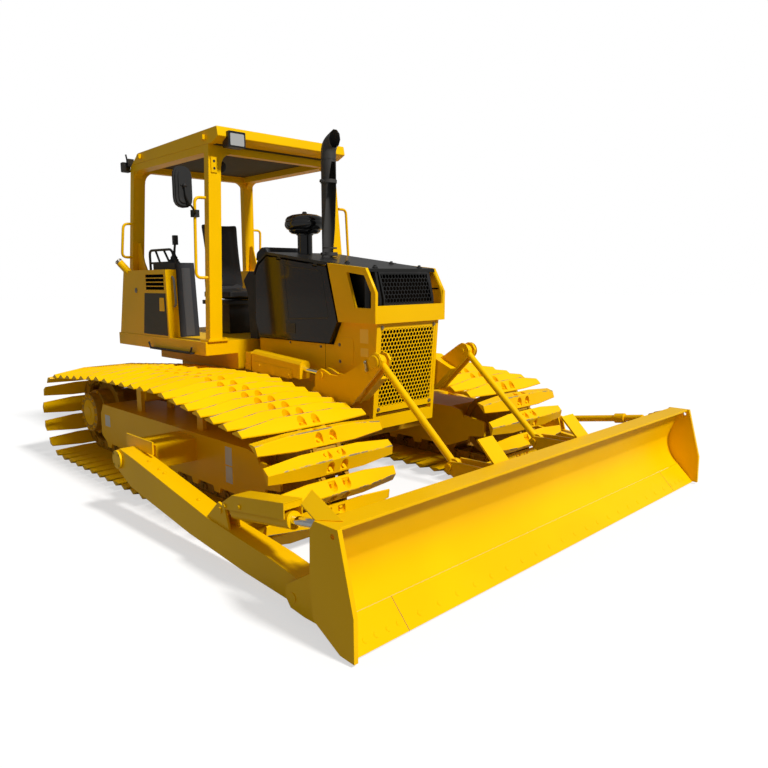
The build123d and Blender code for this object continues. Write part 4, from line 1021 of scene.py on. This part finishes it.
def upper_grille(settings):
    """The black sheet with six-sided holes, upright to its crease and leaning back above it."""
    low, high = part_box("upper_grille")
    crease, top_y, rim = 1.488, -0.850, 0.014
    rim_y = (low.y + 0.001, low.y + rim)
    grille = holed_sheet(
        high.x - low.x - 2 * rim, high.z - low.z - 2 * rim, settings.upper_pitch, settings.upper_hole, 6
    )
    middle = (0, low.y + 0.004, (low.z + high.z) / 2)
    bmesh.ops.translate(grille.mesh, verts=list(grille.mesh.verts), vec=middle)
    for x in ((low.x, low.x + rim), (high.x - rim, high.x)):
        for z in ((low.z, crease), (crease, high.z)):
            grille.block(x, rim_y, z)
    for z in ((low.z, low.z + rim), (high.z - rim, high.z)):
        grille.block((low.x + rim, high.x - rim), rim_y, z)
    lean = (top_y - low.y) / (high.z - crease)
    for vert in grille.mesh.verts:
        vert.co.y += max(0.0, vert.co.z - crease) * lean
    made = grille.finish(
        "upper_grille_sheet", "root", "black_enamel", smooth=25.0, turn_out=False, slot="black_paint"
    )
    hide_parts("upper_grille")
    # Painted shade: a black sheet behind the holes, bent along the grille's crease.
    shade = Shape()
    front, thick, top = 0.040, 0.004, high.z - 0.006
    outline = ((low.y + front, low.z), (low.y + front, crease), (top_y + front - thick, top),
               (top_y + front, top), (low.y + front + thick, crease), (low.y + front + thick, low.z))
    shade.slab(outline, X, low.x + 0.006, high.x - 0.006)
    shade.finish("upper_grille_shade", "root", "shade_black", slot="black_paint")


class BULLDOZER_OT_grilles(bpy.types.Operator):
    """Makes the perforated front grille and the black upper grille"""

    bl_idname = "bulldozer.grilles"
    bl_label = "Grilles"

    def execute(self, context):
        front_grille(context.scene.bulldozer_grille)
        upper_grille(context.scene.bulldozer_grille)
        dressed("radiator_core", "cast_dark", 0.0, "black_paint")
        return {"FINISHED"}


# ---------------------------------------------------------------- body

GUARD_WALL = 0.330
DOOR_WALL = 0.3735


def hood_top(y):
    """Height of the hood's top along the machine."""
    line = ((-0.846, 1.698), (-0.424, 1.752), (0.318, 1.850))
    for (y0, z0), (y1, z1) in zip(line, line[1:]):
        if y <= y1:
            break
    return z0 + (y - y0) * (z1 - z0) / (y1 - y0)


def access_hatch(side, name):
    hatch = Shape()
    corners = oblong((-0.665, 1.000), (-0.490, 1.205))
    hatch.plate(corners, X, side * (GUARD_WALL - 0.001), side * (GUARD_WALL + 0.0025), 0.035)
    hatch.finish(f"access_hatch_{name}", "root", "yellow_enamel", 0.001)


def guard_bolts(side, name):
    """The hatch's bolts and those in the guard's wall behind it."""
    bolts = Shape()
    bolts.side_bolts(side, GUARD_WALL + 0.0025, ((-0.516, 1.148), (-0.520, 1.024)), 0.010, 0.006)
    bolts.side_bolts(side, GUARD_WALL, ((-0.300, 1.120), (0.080, 1.130)), 0.008, 0.005)
    bolts.finish(f"guard_bolts_{name}", "root", "dull_steel", slot="steel")


def guard_labels(side, name):
    """Two blank labels near the guard's front edge."""
    labels = Shape()
    for corners in (oblong((-0.817, 1.174), (-0.733, 1.274)), oblong((-0.818, 1.078), (-0.738, 1.138))):
        labels.plate(corners, X, side * GUARD_WALL, side * (GUARD_WALL + 0.0008), 0.006)
    labels.finish(f"guard_labels_{name}", "root", "label_yellow")


def guard_joint(side, name):
    """The dark line where the guard meets the engine's side."""
    joint = Shape()
    wall = (side * (GUARD_WALL - 0.001), side * (GUARD_WALL + 0.0006))
    joint.block(wall, (-0.3535, -0.3505), (0.72, 1.150))
    joint.finish(f"guard_joint_{name}", "root", "shade_black", slot="black_paint")


def guard_rim(side, name):
    """The rolled front edge of the guard's upper side frame."""
    rim = Shape()
    route = ((-0.700, 1.702), (-0.826, 1.688), (-0.9165, 1.530), (-0.9165, 1.330))
    rim.tube(at_x(side * 0.3575, route), 0.0165, 0.05)
    rim.finish(f"guard_rim_{name}", "root", "yellow_enamel", smooth=60.0)


def door_trim(side, name):
    """The raised line round an engine door's panel, and the plate of its lock."""
    trim = Shape()
    panel = ((0.085, 1.735), (-0.362, 1.690), (-0.440, 1.345), (0.040, 1.320))
    trim.tube(at_x(side * (DOOR_WALL - 0.0015), panel + panel[:1]), 0.0030, 0.02, ends=False)
    lock = oblong((-0.045, 1.208), (0.062, 1.288))
    trim.plate(lock, X, side * (DOOR_WALL - 0.001), side * (DOOR_WALL + 0.002), 0.006)
    trim.finish(f"door_trim_{name}", f"engine_door_{name}", "black_enamel", slot="black_paint")


def left_window():
    """The sheet with a bar that fills the left side frame's window from within."""
    flange = Shape()
    outline = ((-0.640, 1.676), (-0.820, 1.652), (-0.888, 1.532), (-0.888, 1.424), (-0.728, 1.426))
    flange.slab(outline, X, 0.352, 0.358)
    flange.finish("window_flange", "root", "yellow_enamel")
    bar = Shape()
    bar.block((0.346, 0.3515), (-0.890, -0.690), (1.545, 1.556))
    bar.finish("window_bar", "root", "shade_black", slot="black_paint")


def closing_plate(side, name, finish, slot):
    """Closes the gap between the hood and the guard's side frame."""
    plate = Shape()
    plate.block((side * 0.264, side * 0.3425), (-0.800, -0.796), (1.320, 1.690))
    plate.finish(f"closing_plate_{name}", "root", finish, slot=slot)


def hood_knobs():
    """Four rubber stops on the hood."""
    knobs = Shape()
    profile = [(0, 0), (0.020, 0), (0.020, 0.006), (0.011, 0.014), (0.011, 0.020), (0, 0.022)]
    for x in (-0.235, 0.235):
        for y in (-0.790, -0.500):
            knobs.turned(profile, upright(x, y, hood_top(y) - 0.001), 18)
    knobs.finish("hood_knobs", "root", "rubber_black", slot="black_paint")


class BULLDOZER_OT_body(bpy.types.Operator):
    """Dresses the radiator guard, hood, doors and main frame"""

    bl_idname = "bulldozer.body"
    bl_label = "Body"

    def execute(self, context):
        dressed("radiator_guard", "yellow_enamel", 0.003)
        dressed("hood", "black_enamel", 0.003, "black_paint")
        for side, name in SIDES:
            dressed(f"engine_door_{name}", "door_gloss", 0.004, "dark_panel")
        dressed("main_frame", "shade_and_mud_yellow", 0.004)
        dressed("hitch", "yellow_enamel", 0.003)
        for side, name in SIDES:
            for piece in (access_hatch, guard_bolts, guard_labels, guard_joint, guard_rim, door_trim):
                piece(side, name)
        left_window()
        closing_plate(-1, "right", "black_enamel", "black_paint")
        closing_plate(1, "left", "yellow_enamel", "yellow_paint")
        hood_knobs()
        return {"FINISHED"}


STACK_Y = -0.036
STACK_RADIUS = 0.0605


def exhaust_pipe():
    """A bent pipe cut off square to its end, with three beads round it."""
    pipe = Shape()
    pipe.tube([(0, STACK_Y, 1.76), (0, STACK_Y, 2.672), (0, -0.150, 2.728)], STACK_RADIUS, 0.115, ends=False)
    pipe.cut((0, -0.100, 2.600), (0, -0.994, -0.108))
    for z, height in ((1.870, 0.010), (2.400, 0.008), (2.560, 0.006)):
        bead = [(0.058, 0), (0.0608, 0), (0.0608, height), (0.058, height)]
        pipe.turned(bead, upright(0, STACK_Y, z), 32)
    made = pipe.finish("exhaust_pipe", "root", "stack_black", slot="cast_iron")
    wall = made.modifiers.new("wall", "SOLIDIFY")
    wall.thickness, wall.offset = 0.003, -1
    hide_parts("exhaust_stack")


def stack_clamps():
    """Two bands round the pipe, each with a lug and its bolt on the right."""
    clamps = Shape()
    tall, lug_x, reach = 0.026, -0.072, 0.026
    for z in (1.815, 2.380):
        band = [(0.0609, 0), (0.0655, 0), (0.0655, tall), (0.0609, tall)]
        clamps.turned(band, upright(0, STACK_Y, z), 32)
        middle = z + tall / 2
        lug = [(place - 0.012, place + 0.012) for place in (lug_x, STACK_Y)]
        clamps.block(*lug, (z + 0.001, z + 0.025))
        clamps.bar((lug_x, STACK_Y - reach, middle), (lug_x, STACK_Y + reach, middle), 0.005, 8)
    clamps.finish("stack_clamps", "root", "stack_black", slot="cast_iron")


def precleaner():
    """The dust bowl on its pipe, with its rolled rim and top nut."""
    bowl = Shape()
    pipe = [(0, 1.79), (0.062, 1.79), (0.062, 1.990), (0.070, 1.992), (0.072, 2.000)]
    under = [(0.112, 2.006), (0.118, 2.012), (0.130, 2.020), (0.134, 2.034), (0.150, 2.042), (0.163, 2.058)]
    rim = [(0.168, 2.076), (0.166, 2.096), (0.160, 2.104), (0.162, 2.110), (0.158, 2.124), (0.146, 2.140)]
    top = [(0.110, 2.156), (0.060, 2.164), (0.022, 2.166), (0.020, 2.178), (0.012, 2.185), (0, 2.186)]
    bowl.turned(pipe + under + rim + top, upright(0, 0.276, 0), 48)
    made = bowl.finish("precleaner_bowl", "root", "bowl_black", smooth=44.0, slot="black_paint")
    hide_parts("precleaner")


class BULLDOZER_OT_stack(bpy.types.Operator):
    """Makes the exhaust stack and the air precleaner"""

    bl_idname = "bulldozer.stack"
    bl_label = "Stack and precleaner"

    def execute(self, context):
        exhaust_pipe()
        stack_clamps()
        precleaner()
        return {"FINISHED"}


# ---------------------------------------------------------------- operator's place

BOX_WALL = 0.803
VENT_PITCH = 0.036
ARMREST_X = -0.612
LEVER_X = -0.600


def vent_slot_shade(side, name):
    """Painted shade: black strips behind the louvres of a side box."""
    louvre_shade = Shape()
    for number in range(4):
        top = 1.681 - number * VENT_PITCH
        wall = (side * (BOX_WALL - 0.002), side * (BOX_WALL + 0.0006))
        louvre_shade.block(wall, (1.247, 1.584), (top - 0.026, top))
    louvre_shade.finish(f"vent_slot_shade_{name}", "root", "shade_black", slot="black_paint")


def vent_slats(side, name):
    slats = Shape()
    for number in range(5):
        middle = 1.6865 - number * VENT_PITCH
        heights = (middle - 0.005, middle + 0.003)
        slats.block((side * BOX_WALL, side * (BOX_WALL + 0.004)), (1.240, 1.592), heights)
    slats.finish(f"vent_slats_{name}", "root", "yellow_enamel", 0.0015)


def box_door(side, name):
    door = Shape()
    outline = ((1.213, 1.146), (1.671, 1.146), (1.618, 1.516), (1.224, 1.516))
    door.plate(outline, X, side * (BOX_WALL - 0.001), side * (BOX_WALL + 0.0015), 0.006)
    door.finish(f"box_door_{name}", "root", "olive_door", slot="dark_panel")


def box_latch(side, name):
    """The door's latch: a plate with a paddle on it."""
    latch = Shape()
    plate = ((1.250, 1.360), (1.345, 1.360), (1.335, 1.478), (1.256, 1.478))
    paddle = ((1.268, 1.385), (1.300, 1.385), (1.298, 1.452), (1.268, 1.452))
    latch.plate(plate, X, side * (BOX_WALL + 0.001), side * (BOX_WALL + 0.003), 0.008)
    latch.plate(paddle, X, side * (BOX_WALL + 0.003), side * (BOX_WALL + 0.006), 0.004)
    latch.finish(f"box_latch_{name}", "root", "yellow_enamel", 0.001)


def box_lock(side, name):
    lock = Shape()
    profile = [(0, 0), (0.024, 0), (0.024, 0.004), (0.014, 0.009), (0, 0.009)]
    lock.turned(profile, outward(side, BOX_WALL, 1.784, 1.539), 20)
    lock.finish(f"box_lock_{name}", "root", "dull_steel", slot="steel")


def step_bar(side, name):
    """The step under a side box, with a round bar along its edge."""
    step = Shape()
    step.block((side * 0.640, side * 0.850), (0.760, 1.480), (1.020, 1.034))
    route = ((0.740, 1.080), (0.770, 1.028), (1.470, 1.028), (1.500, 1.080))
    step.tube(at_x(side * 0.845, route), 0.009, 0.03)
    step.finish(f"step_bar_{name}", "root", "rubber_black", 0.002, slot="black_paint")


def box_grip(side, name):
    """The upright grip at the front of a side box."""
    grip = Shape()
    route = ((1.200, 1.660), (1.172, 1.640), (1.150, 1.420), (1.180, 1.400))
    grip.tube(at_x(side * 0.745, route), 0.010, 0.03)
    grip.finish(f"box_grip_{name}", "root", "grommet_grey", slot="dark_grey_plastic")


def dash_cowl():
    """The moulded hood over the dashboard's dials."""
    cowl = Shape()
    outline = ((0.532, 1.790), (0.532, 1.872), (0.560, 1.902), (0.620, 1.900), (0.690, 1.858), (0.700, 1.790))
    cowl.slab(outline, X, -0.210, 0.165)
    cowl.finish("dash_cowl", "root", "panel_grey", 0.014, slot="dark_grey_plastic")


def filler_cap():
    """A lobed cap on the fuel tank's slanting neck."""
    foot, mouth = Vector((-0.770, 1.960, 1.690)), Vector((-0.846, 2.012, 1.800))
    way = (mouth - foot).normalized()
    place = Matrix.Translation(mouth + way * 0.001) @ way.to_track_quat("Z", "Y").to_matrix().to_4x4()
    cap = Shape()
    cap.turned([(0, 0), (0.029, 0), (0.029, 0.022), (0.024, 0.026), (0, 0.026)], place, 20)
    for lobe in range(8):
        angle = lobe * math.pi / 4
        cap.ball(place @ Vector((0.028 * math.cos(angle), 0.028 * math.sin(angle), 0.012)), 0.008, 8)
    cap.finish("filler_cap", "root", "dull_steel", slot="steel")


def armrest():
    """The bent tube beside the levers, with its stays."""
    rest = Shape()
    low, high, rear, front = 1.790, 1.906, 1.852, 1.376
    route = ((rear, 1.722), (1.858, 1.908), (1.430, high), (front, low), (1.330, 1.600))
    rest.tube(at_x(ARMREST_X, route), 0.012, 0.05)
    for stay in (((1.74, high), (1.66, low)), ((1.58, high), (1.48, low)), ((rear, low), (front, low))):
        rest.tube(at_x(ARMREST_X, stay), 0.010, 0)
    rest.finish("armrest_frame", "root", "black_enamel", slot="black_paint")


def lever_boot():
    """The lever's pleated boot and its shaft."""
    boot = Shape()
    pleats = [(0, 0), (0.052, 0), (0.050, 0.012), (0.040, 0.020), (0.042, 0.030), (0.030, 0.042),
              (0.032, 0.052), (0.020, 0.068), (0.014, 0.090), (0, 0.092)]
    boot.turned(pleats, upright(LEVER_X, 1.415, 1.782), 20)
    boot.tube(at_x(LEVER_X, ((1.412, 1.86), (1.395, 1.92), (1.380, 1.975))), 0.0105, 0.02)
    boot.finish("lever_boot", "root", "rubber_black", smooth=60.0, slot="black_paint")


def console_strip():
    """The pale strip down the console's front."""
    strip = Shape()
    outline = ((1.1815, 1.140), (1.2275, 1.735), (1.2245, 1.735), (1.1785, 1.140))
    strip.slab(outline, X, -0.640, -0.555)
    strip.finish("console_strip", "root", "strip_grey", 0.001, slot="dark_grey_plastic")


class BULLDOZER_OT_platform(bpy.types.Operator):
    """Dresses the platform, side boxes, console and dashboard"""

    bl_idname = "bulldozer.platform"
    bl_label = "Platform"

    def execute(self, context):
        dressed("platform", "yellow_enamel", 0.004)
        dressed("fuel_tank", "yellow_enamel", 0.008)
        dressed("left_console", "yellow_enamel", 0.008)
        dressed("control_console", "panel_grey", 0.012, "dark_grey_plastic")
        dressed("dashboard", "panel_grey", 0.012, "dark_grey_plastic")
        dressed("seat_base", "black_enamel", 0.005, "black_paint")
        for side, name in SIDES:
            for piece in (vent_slot_shade, vent_slats, box_door, box_latch, box_lock, step_bar, box_grip):
                piece(side, name)
        for piece in (dash_cowl, filler_cap, armrest, lever_boot, console_strip):
            piece()
        return {"FINISHED"}


def cushion(name, node, low, high, lean=0.0, crown=0.03):
    """A crowned pad between two corners, pulled in between its corners, with sewn lines.

    lean shears it back as it rises.
    """
    shape = Shape()
    low, high = Vector(low), Vector(high)
    shape.block(*zip(low, high))
    bmesh.ops.subdivide_edges(shape.mesh, edges=list(shape.mesh.edges), cuts=9, use_grid_fill=True)
    middle, size = (low + high) / 2, (high - low) / 2
    thin = min(range(3), key=lambda axis: size[axis])
    flat = [axis for axis in range(3) if axis != thin]
    pull, seam, seam_width, seam_depth = 0.012, 0.55, 0.06, 0.008
    for vert in shape.mesh.verts:
        share = [(vert.co[axis] - middle[axis]) / size[axis] for axis in range(3)]
        across = (1 - share[flat[0]] ** 2) * (1 - share[flat[1]] ** 2)
        vert.co[thin] += share[thin] * crown * (across ** 0.6 - 1) if across > 0 else -share[thin] * crown
        for axis, other in (flat, flat[::-1]):
            drawn = pull * (1 - share[other] ** 2) * share[axis] ** 3
            vert.co[axis] -= drawn * (1 if abs(share[axis]) > 0.9 else 0.3)
        if abs(abs(share[flat[0]]) - seam) < seam_width:
            vert.co[thin] -= share[thin] * seam_depth
        vert.co.y += (vert.co.z - low.z) * lean
    made = shape.finish(name, "root", "seat_vinyl", smooth=180.0, slot="seat_vinyl")
    smooth = made.modifiers.new("smooth", "SUBSURF")
    smooth.levels = smooth.render_levels = 2
    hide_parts(node)


def seat_hinge():
    """The covered knuckle between the seat's cushion and its back."""
    hinge = Shape()
    hinge.slab(((1.500, 1.470), (1.630, 1.470), (1.640, 1.640), (1.530, 1.640)), X, -0.165, 0.200)
    hinge.finish("seat_hinge", "root", "seat_vinyl", 0.012, slot="seat_vinyl")


class BULLDOZER_OT_seat(bpy.types.Operator):
    """Makes the padded seat"""

    bl_idname = "bulldozer.seat"
    bl_label = "Seat"

    def execute(self, context):
        cushion("seat_pad", "seat_cushion", *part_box("seat_cushion"))
        low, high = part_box("seat_back")
        thick, lean = 0.100, 0.090 / 0.616
        low = low + Vector((0.034, 0.006, 0.002))
        cushion("back_pad", "seat_back", low, (high.x, low.y + thick, high.z - 0.004), lean)
        seat_hinge()
        return {"FINISHED"}


# ---------------------------------------------------------------- canopy

# routes of one side's handrails, x outward
RAILS = (
    ((0.716, 0.646, 2.278), (0.812, 0.650, 2.278), (0.836, 0.634, 1.647), (0.744, 0.610, 1.647)),
    ((0.690, 2.010, 2.160), (0.786, 2.014, 2.160), (0.800, 2.050, 1.850), (0.700, 2.040, 1.850)),
)
MIRROR = Vector((-0.960, 0.568, 2.334))
BEAM_UNDER = 2.640
GUSSET = 0.105


# Painted shade: a dark yellow-brown sheet under the roof, standing for the shaded underside of the yellow
# roof.
def roof_underside_shade():
    low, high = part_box("roof")
    shade_sheet = Shape()
    shade_sheet.block((low.x + 0.05, high.x - 0.05), (0.600, high.y - 0.06), (low.z - 0.006, low.z - 0.0005))
    shade_sheet.finish("roof_underside_shade", "root", "roof_underside_shade", slot="black_paint")


def mirror_plate(shape, front, back, wide, tall):
    """A round-cornered plate of the mirror, from front to back along Y."""
    corners = oblong((MIRROR.x - wide, MIRROR.z - tall), (MIRROR.x + wide, MIRROR.z + tall))
    shape.plate(corners, Y, MIRROR.y + front, MIRROR.y + back, 0.10)


def mirror():
    """The mirror's stepped case with its ball joint, on a bent arm clamped to the rail."""
    case = Shape()
    mirror_plate(case, 0.014, -0.004, 0.080, 0.156)
    mirror_plate(case, -0.004, -0.013, 0.066, 0.142)
    mirror_plate(case, -0.013, -0.021, 0.044, 0.120)
    for x in (-0.022, 0.022):
        case.bolt(MIRROR + Vector((x, -0.021, 0.012)), (0, -1, 0), 0.008, 0.005, washer=False)
    case.ball(MIRROR + Vector((0, -0.030, 0.008)), 0.016)
    arm = [(-0.815, 0.640, 2.150), (-0.870, 0.560, 2.165), (-0.950, 0.530, 2.235), (-0.960, 0.535, 2.342)]
    case.tube(arm, 0.008, 0.05)
    case.block((-0.842, -0.790), (0.622, 0.672), (2.122, 2.178))
    case.finish("mirror", "root", "rubber_black", 0.0015, slot="black_paint")
    pane = Shape()
    mirror_plate(pane, 0.0145, 0.0152, 0.070, 0.146)
    pane.finish("mirror_glass", "root", "mirror_glass", slot="black_paint")


def roof_lamp():
    lamp = Shape()
    lamp.plate(oblong((-0.592, 2.664), (-0.430, 2.786)), Y, 0.474, 0.560, 0.012)
    lamp.finish("roof_lamp", "root", "black_enamel", 0.004, slot="black_paint")
    lens = Shape()
    lens.plate(oblong((-0.576, 2.676), (-0.446, 2.768)), Y, 0.4705, 0.476, 0.010)
    lens.finish("lamp_lens", "root", "lamp_glass", 0.001, slot="chrome")


def handrail_tubes():
    rails = Shape()
    for side in (-1, 1):
        for rail in RAILS:
            rails.tube([(side * x, y, z) for x, y, z in rail], 0.0125, 0.05)
    made = rails.finish("handrail_tubes", "root", "yellow_enamel", smooth=60.0)
    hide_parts("handrails")


def gusset_outline(corner, way):
    """A rounded gusset under a beam, from its post's face at the corner, towards the way."""
    outline = [(corner, BEAM_UNDER), (corner + way * GUSSET, BEAM_UNDER)]
    for degrees in range(15, 90, 15):
        sine, cosine = math.sin(math.radians(degrees)), math.cos(math.radians(degrees))
        outline.append((corner + way * GUSSET * (1 - sine), BEAM_UNDER - GUSSET * (1 - cosine)))
    return [*outline, (corner, BEAM_UNDER - GUSSET)]


def canopy_trim():
    """The posts' foot plates with their bolts, the roof's lifting lugs and the gussets under the beams."""
    trim = Shape()
    for side in (-1, 1):
        for x in (0.620, 0.770):
            trim.bolt((side * x, 0.575, 1.146), (0, 0, 1), 0.011, 0.009)
        for y in (0.700, 1.820):
            trim.block((side * 0.668, side * 0.700), (y - 0.020, y + 0.020), (2.735, 2.772))
        for post_y, way in ((0.655, 1), (1.985, -1)):
            trim.slab(gusset_outline(post_y, way), X, side * 0.590, side * 0.664)
        for y in (0.640, 1.975):
            trim.slab(gusset_outline(side * 0.560, -side), Y, y, y + 0.040)
        rear_foot = ((2.020, 1.726), (1.850, 1.726), (1.900, 1.800), (1.960, 1.985), (2.020, 1.985))
        trim.slab(rear_foot, X, side * 0.640, side * 0.652)
        trim.block((side * 0.600, side * 0.790), (0.560, 0.700), (1.1305, 1.146))
    trim.finish("canopy_trim", "root", "yellow_enamel", 0.003)


def post_plate():
    plate = Shape()
    plate.plate(oblong((-0.662, 2.480), (-0.606, 2.600)), Y, 0.628, 0.640, 0.006)
    plate.finish("post_plate", "root", "yellow_enamel", 0.001)


def canopy_fittings():
    """The plate's two dark studs and the round lamp that hangs under the roof."""
    fittings = Shape()
    for z in (2.512, 2.568):
        fittings.bar((-0.634, 0.6300, z), (-0.634, 0.6272, z), 0.011, 14)
    fittings.ball((-0.470, 0.800, 2.560), 0.050)
    fittings.bar((-0.470, 0.800, 2.600), (-0.470, 0.800, 2.700), 0.010, 10)
    fittings.finish("canopy_fittings", "root", "rubber_black", slot="black_paint")


def rear_lamp():
    """The work lamp and its bracket on the right rear post."""
    lamp = Shape()
    lamp.block((-0.700, -0.640), (2.020, 2.060), (2.690, 2.760))
    lamp.tube([(-0.690, 2.040, 2.700), (-0.700, 2.060, 2.800)], 0.008, 0)
    lamp.plate(oblong((-0.740, 2.640), (-0.660, 2.730)), Y, 2.058, 2.100, 0.010)
    lamp.finish("rear_lamp", "root", "black_enamel", 0.003, slot="black_paint")


class BULLDOZER_OT_canopy(bpy.types.Operator):
    """Dresses the canopy frame, roof, handrails, lamps and mirror"""

    bl_idname = "bulldozer.canopy"
    bl_label = "Canopy"

    def execute(self, context):
        dressed("rops_frame", "yellow_enamel", 0.007)
        dressed("roof", "yellow_enamel", 0.007)
        for piece in (roof_underside_shade, mirror, roof_lamp, handrail_tubes, canopy_trim, post_plate,
                      canopy_fittings, rear_lamp):
            piece()
        return {"FINISHED"}


# ---------------------------------------------------------------- studio


def stage_camera():
    """The camera: where it stands, and its turn, tilt and roll in degrees."""
    yaw, pitch, roll = (math.radians(a) for a in (-42.77, -9.131, -0.46))
    ahead = Vector((-math.sin(yaw) * math.cos(pitch), math.cos(yaw) * math.cos(pitch), math.sin(pitch)))
    right = ahead.cross(Vector((0, 0, 1))).normalized()
    up = right.cross(ahead)
    across = right * math.cos(roll) + up * math.sin(roll)
    upward = up * math.cos(roll) - right * math.sin(roll)
    camera = bpy.data.objects.new("camera", bpy.data.cameras.new("camera"))
    bpy.context.scene.collection.objects.link(camera)
    turn = Matrix((across, upward, -ahead)).transposed()
    camera.matrix_world = Matrix.Translation((-3.6645, -4.2230, 1.6268)) @ turn.to_4x4()
    camera.data.lens = 31.645
    camera.data.shift_x = 0.0448
    camera.data.shift_y = 0.0047
    bpy.context.scene.camera = camera


def stage_sun(settings):
    sun = bpy.data.objects.new("sun", bpy.data.lights.new("sun", "SUN"))
    sun.data.energy = settings.key
    sun.data.angle = settings.spread
    sun.data.color = (1.0, 0.99, 0.965)
    sun.rotation_mode = "QUATERNION"
    sun.rotation_quaternion = Vector((0.08, -0.68, 0.72)).to_track_quat("Z", "Y")
    bpy.context.scene.collection.objects.link(sun)


def stage_world(settings):
    """A plain white backdrop, and an even light of its own strength."""
    world = bpy.data.worlds.new("studio")
    world.use_nodes = True
    nodes = Nodes(world.node_tree)
    seen = nodes.node("ShaderNodeLightPath", out="Is Camera Ray")
    seen = seen.maths("MAXIMUM", seen, nodes.node("ShaderNodeLightPath", out="Is Transmission Ray"))
    light = nodes.node("ShaderNodeBackground", {}, {"Color": (1, 1, 1, 1), "Strength": settings.sky})
    white = nodes.node("ShaderNodeBackground", {}, {"Color": (1, 1, 1, 1), "Strength": 1.0})
    either = nodes.node("ShaderNodeMixShader", {}, {0: seen, 1: light, 2: white})
    nodes.node("ShaderNodeOutputWorld", {}, {"Surface": either})
    bpy.context.scene.world = world


def stage_floor():
    """A wide pale floor that fades into the backdrop and keeps the machine's shadow."""
    finish = Finish("pale_floor")
    direct = finish.node("ShaderNodeLightPath", out="Is Camera Ray")
    shade = finish.mix(direct, (0.30, 0.30, 0.29), (0.95, 0.95, 0.95))
    lit = finish.node("ShaderNodeBsdfDiffuse", {}, {"Color": shade})
    plain = finish.node("ShaderNodeEmission", {}, {"Color": (1, 1, 1, 1), "Strength": 1.07})
    finish.end(finish.node("ShaderNodeMixShader", {}, {0: direct * 0.55, 1: lit, 2: plain}))
    floor = Shape()
    bmesh.ops.create_circle(floor.mesh, cap_ends=True, segments=64, radius=60)
    data = floor.as_mesh("floor")
    data.materials.append(FINISHES["pale_floor"])
    ground = bpy.data.objects.new("floor", data)
    bpy.context.scene.collection.objects.link(ground)


class BULLDOZER_OT_stage(bpy.types.Operator):
    """Sets up the camera, the light and the pale floor"""

    bl_idname = "bulldozer.stage"
    bl_label = "Stage"

    def execute(self, context):
        stage_camera()
        stage_sun(context.scene.bulldozer_studio)
        stage_world(context.scene.bulldozer_studio)
        stage_floor()
        context.scene.view_settings.view_transform = "Standard"
        return {"FINISHED"}


class BULLDOZER_PT_panel(bpy.types.Panel):
    """Lists the steps that dress the bulldozer"""

    bl_label = "Swamp Bulldozer"
    bl_idname = "BULLDOZER_PT_panel"
    bl_space_type = "VIEW_3D"
    bl_region_type = "UI"
    bl_category = "Bulldozer"

    def draw(self, context):
        for group, kind in GROUPS:
            settings = getattr(context.scene, group)
            for name in kind.__annotations__:
                self.layout.prop(settings, name)
        for step in STEPS:
            self.layout.operator(step.bl_idname)


GROUPS = (
    ("bulldozer_paint", PaintSettings),
    ("bulldozer_track", TrackSettings),
    ("bulldozer_grille", GrilleSettings),
    ("bulldozer_studio", StudioSettings),
)
STEPS = (
    BULLDOZER_OT_stage,
    BULLDOZER_OT_tracks,
    BULLDOZER_OT_running_gear,
    BULLDOZER_OT_blade,
    BULLDOZER_OT_arms,
    BULLDOZER_OT_lift,
    BULLDOZER_OT_grilles,
    BULLDOZER_OT_body,
    BULLDOZER_OT_stack,
    BULLDOZER_OT_platform,
    BULLDOZER_OT_seat,
    BULLDOZER_OT_canopy,
)


def register():
    for name, group in GROUPS:
        bpy.utils.register_class(group)
        setattr(bpy.types.Scene, name, bpy.props.PointerProperty(type=group))
    for step in STEPS:
        bpy.utils.register_class(step)
    bpy.utils.register_class(BULLDOZER_PT_panel)


def unregister():
    bpy.utils.unregister_class(BULLDOZER_PT_panel)
    for step in reversed(STEPS):
        bpy.utils.unregister_class(step)
    for name, group in reversed(GROUPS):
        delattr(bpy.types.Scene, name)
        bpy.utils.unregister_class(group)


# finish of each CAD node that shows as it is: node, finish
PLAIN_NODES = (
    ("rollers_right", "shade_and_mud_yellow"),
    ("rollers_left", "shade_and_mud_yellow"),
    ("tilt_rod", "chrome_rod"),
    ("lift_rod_right", "chrome_rod"),
    ("lift_rod_left", "chrome_rod"),
    ("engine_block", "cast_dark"),
)


def main():
    register()
    make_finishes()
    for node, name in PLAIN_NODES:
        data = frame["nodes"][node].data
        data.materials.clear()
        data.materials.append(FINISHES[name])
    for step in STEPS:
        getattr(bpy.ops.bulldozer, step.bl_idname.split(".")[1])()


if __name__ == "__main__":
    main()
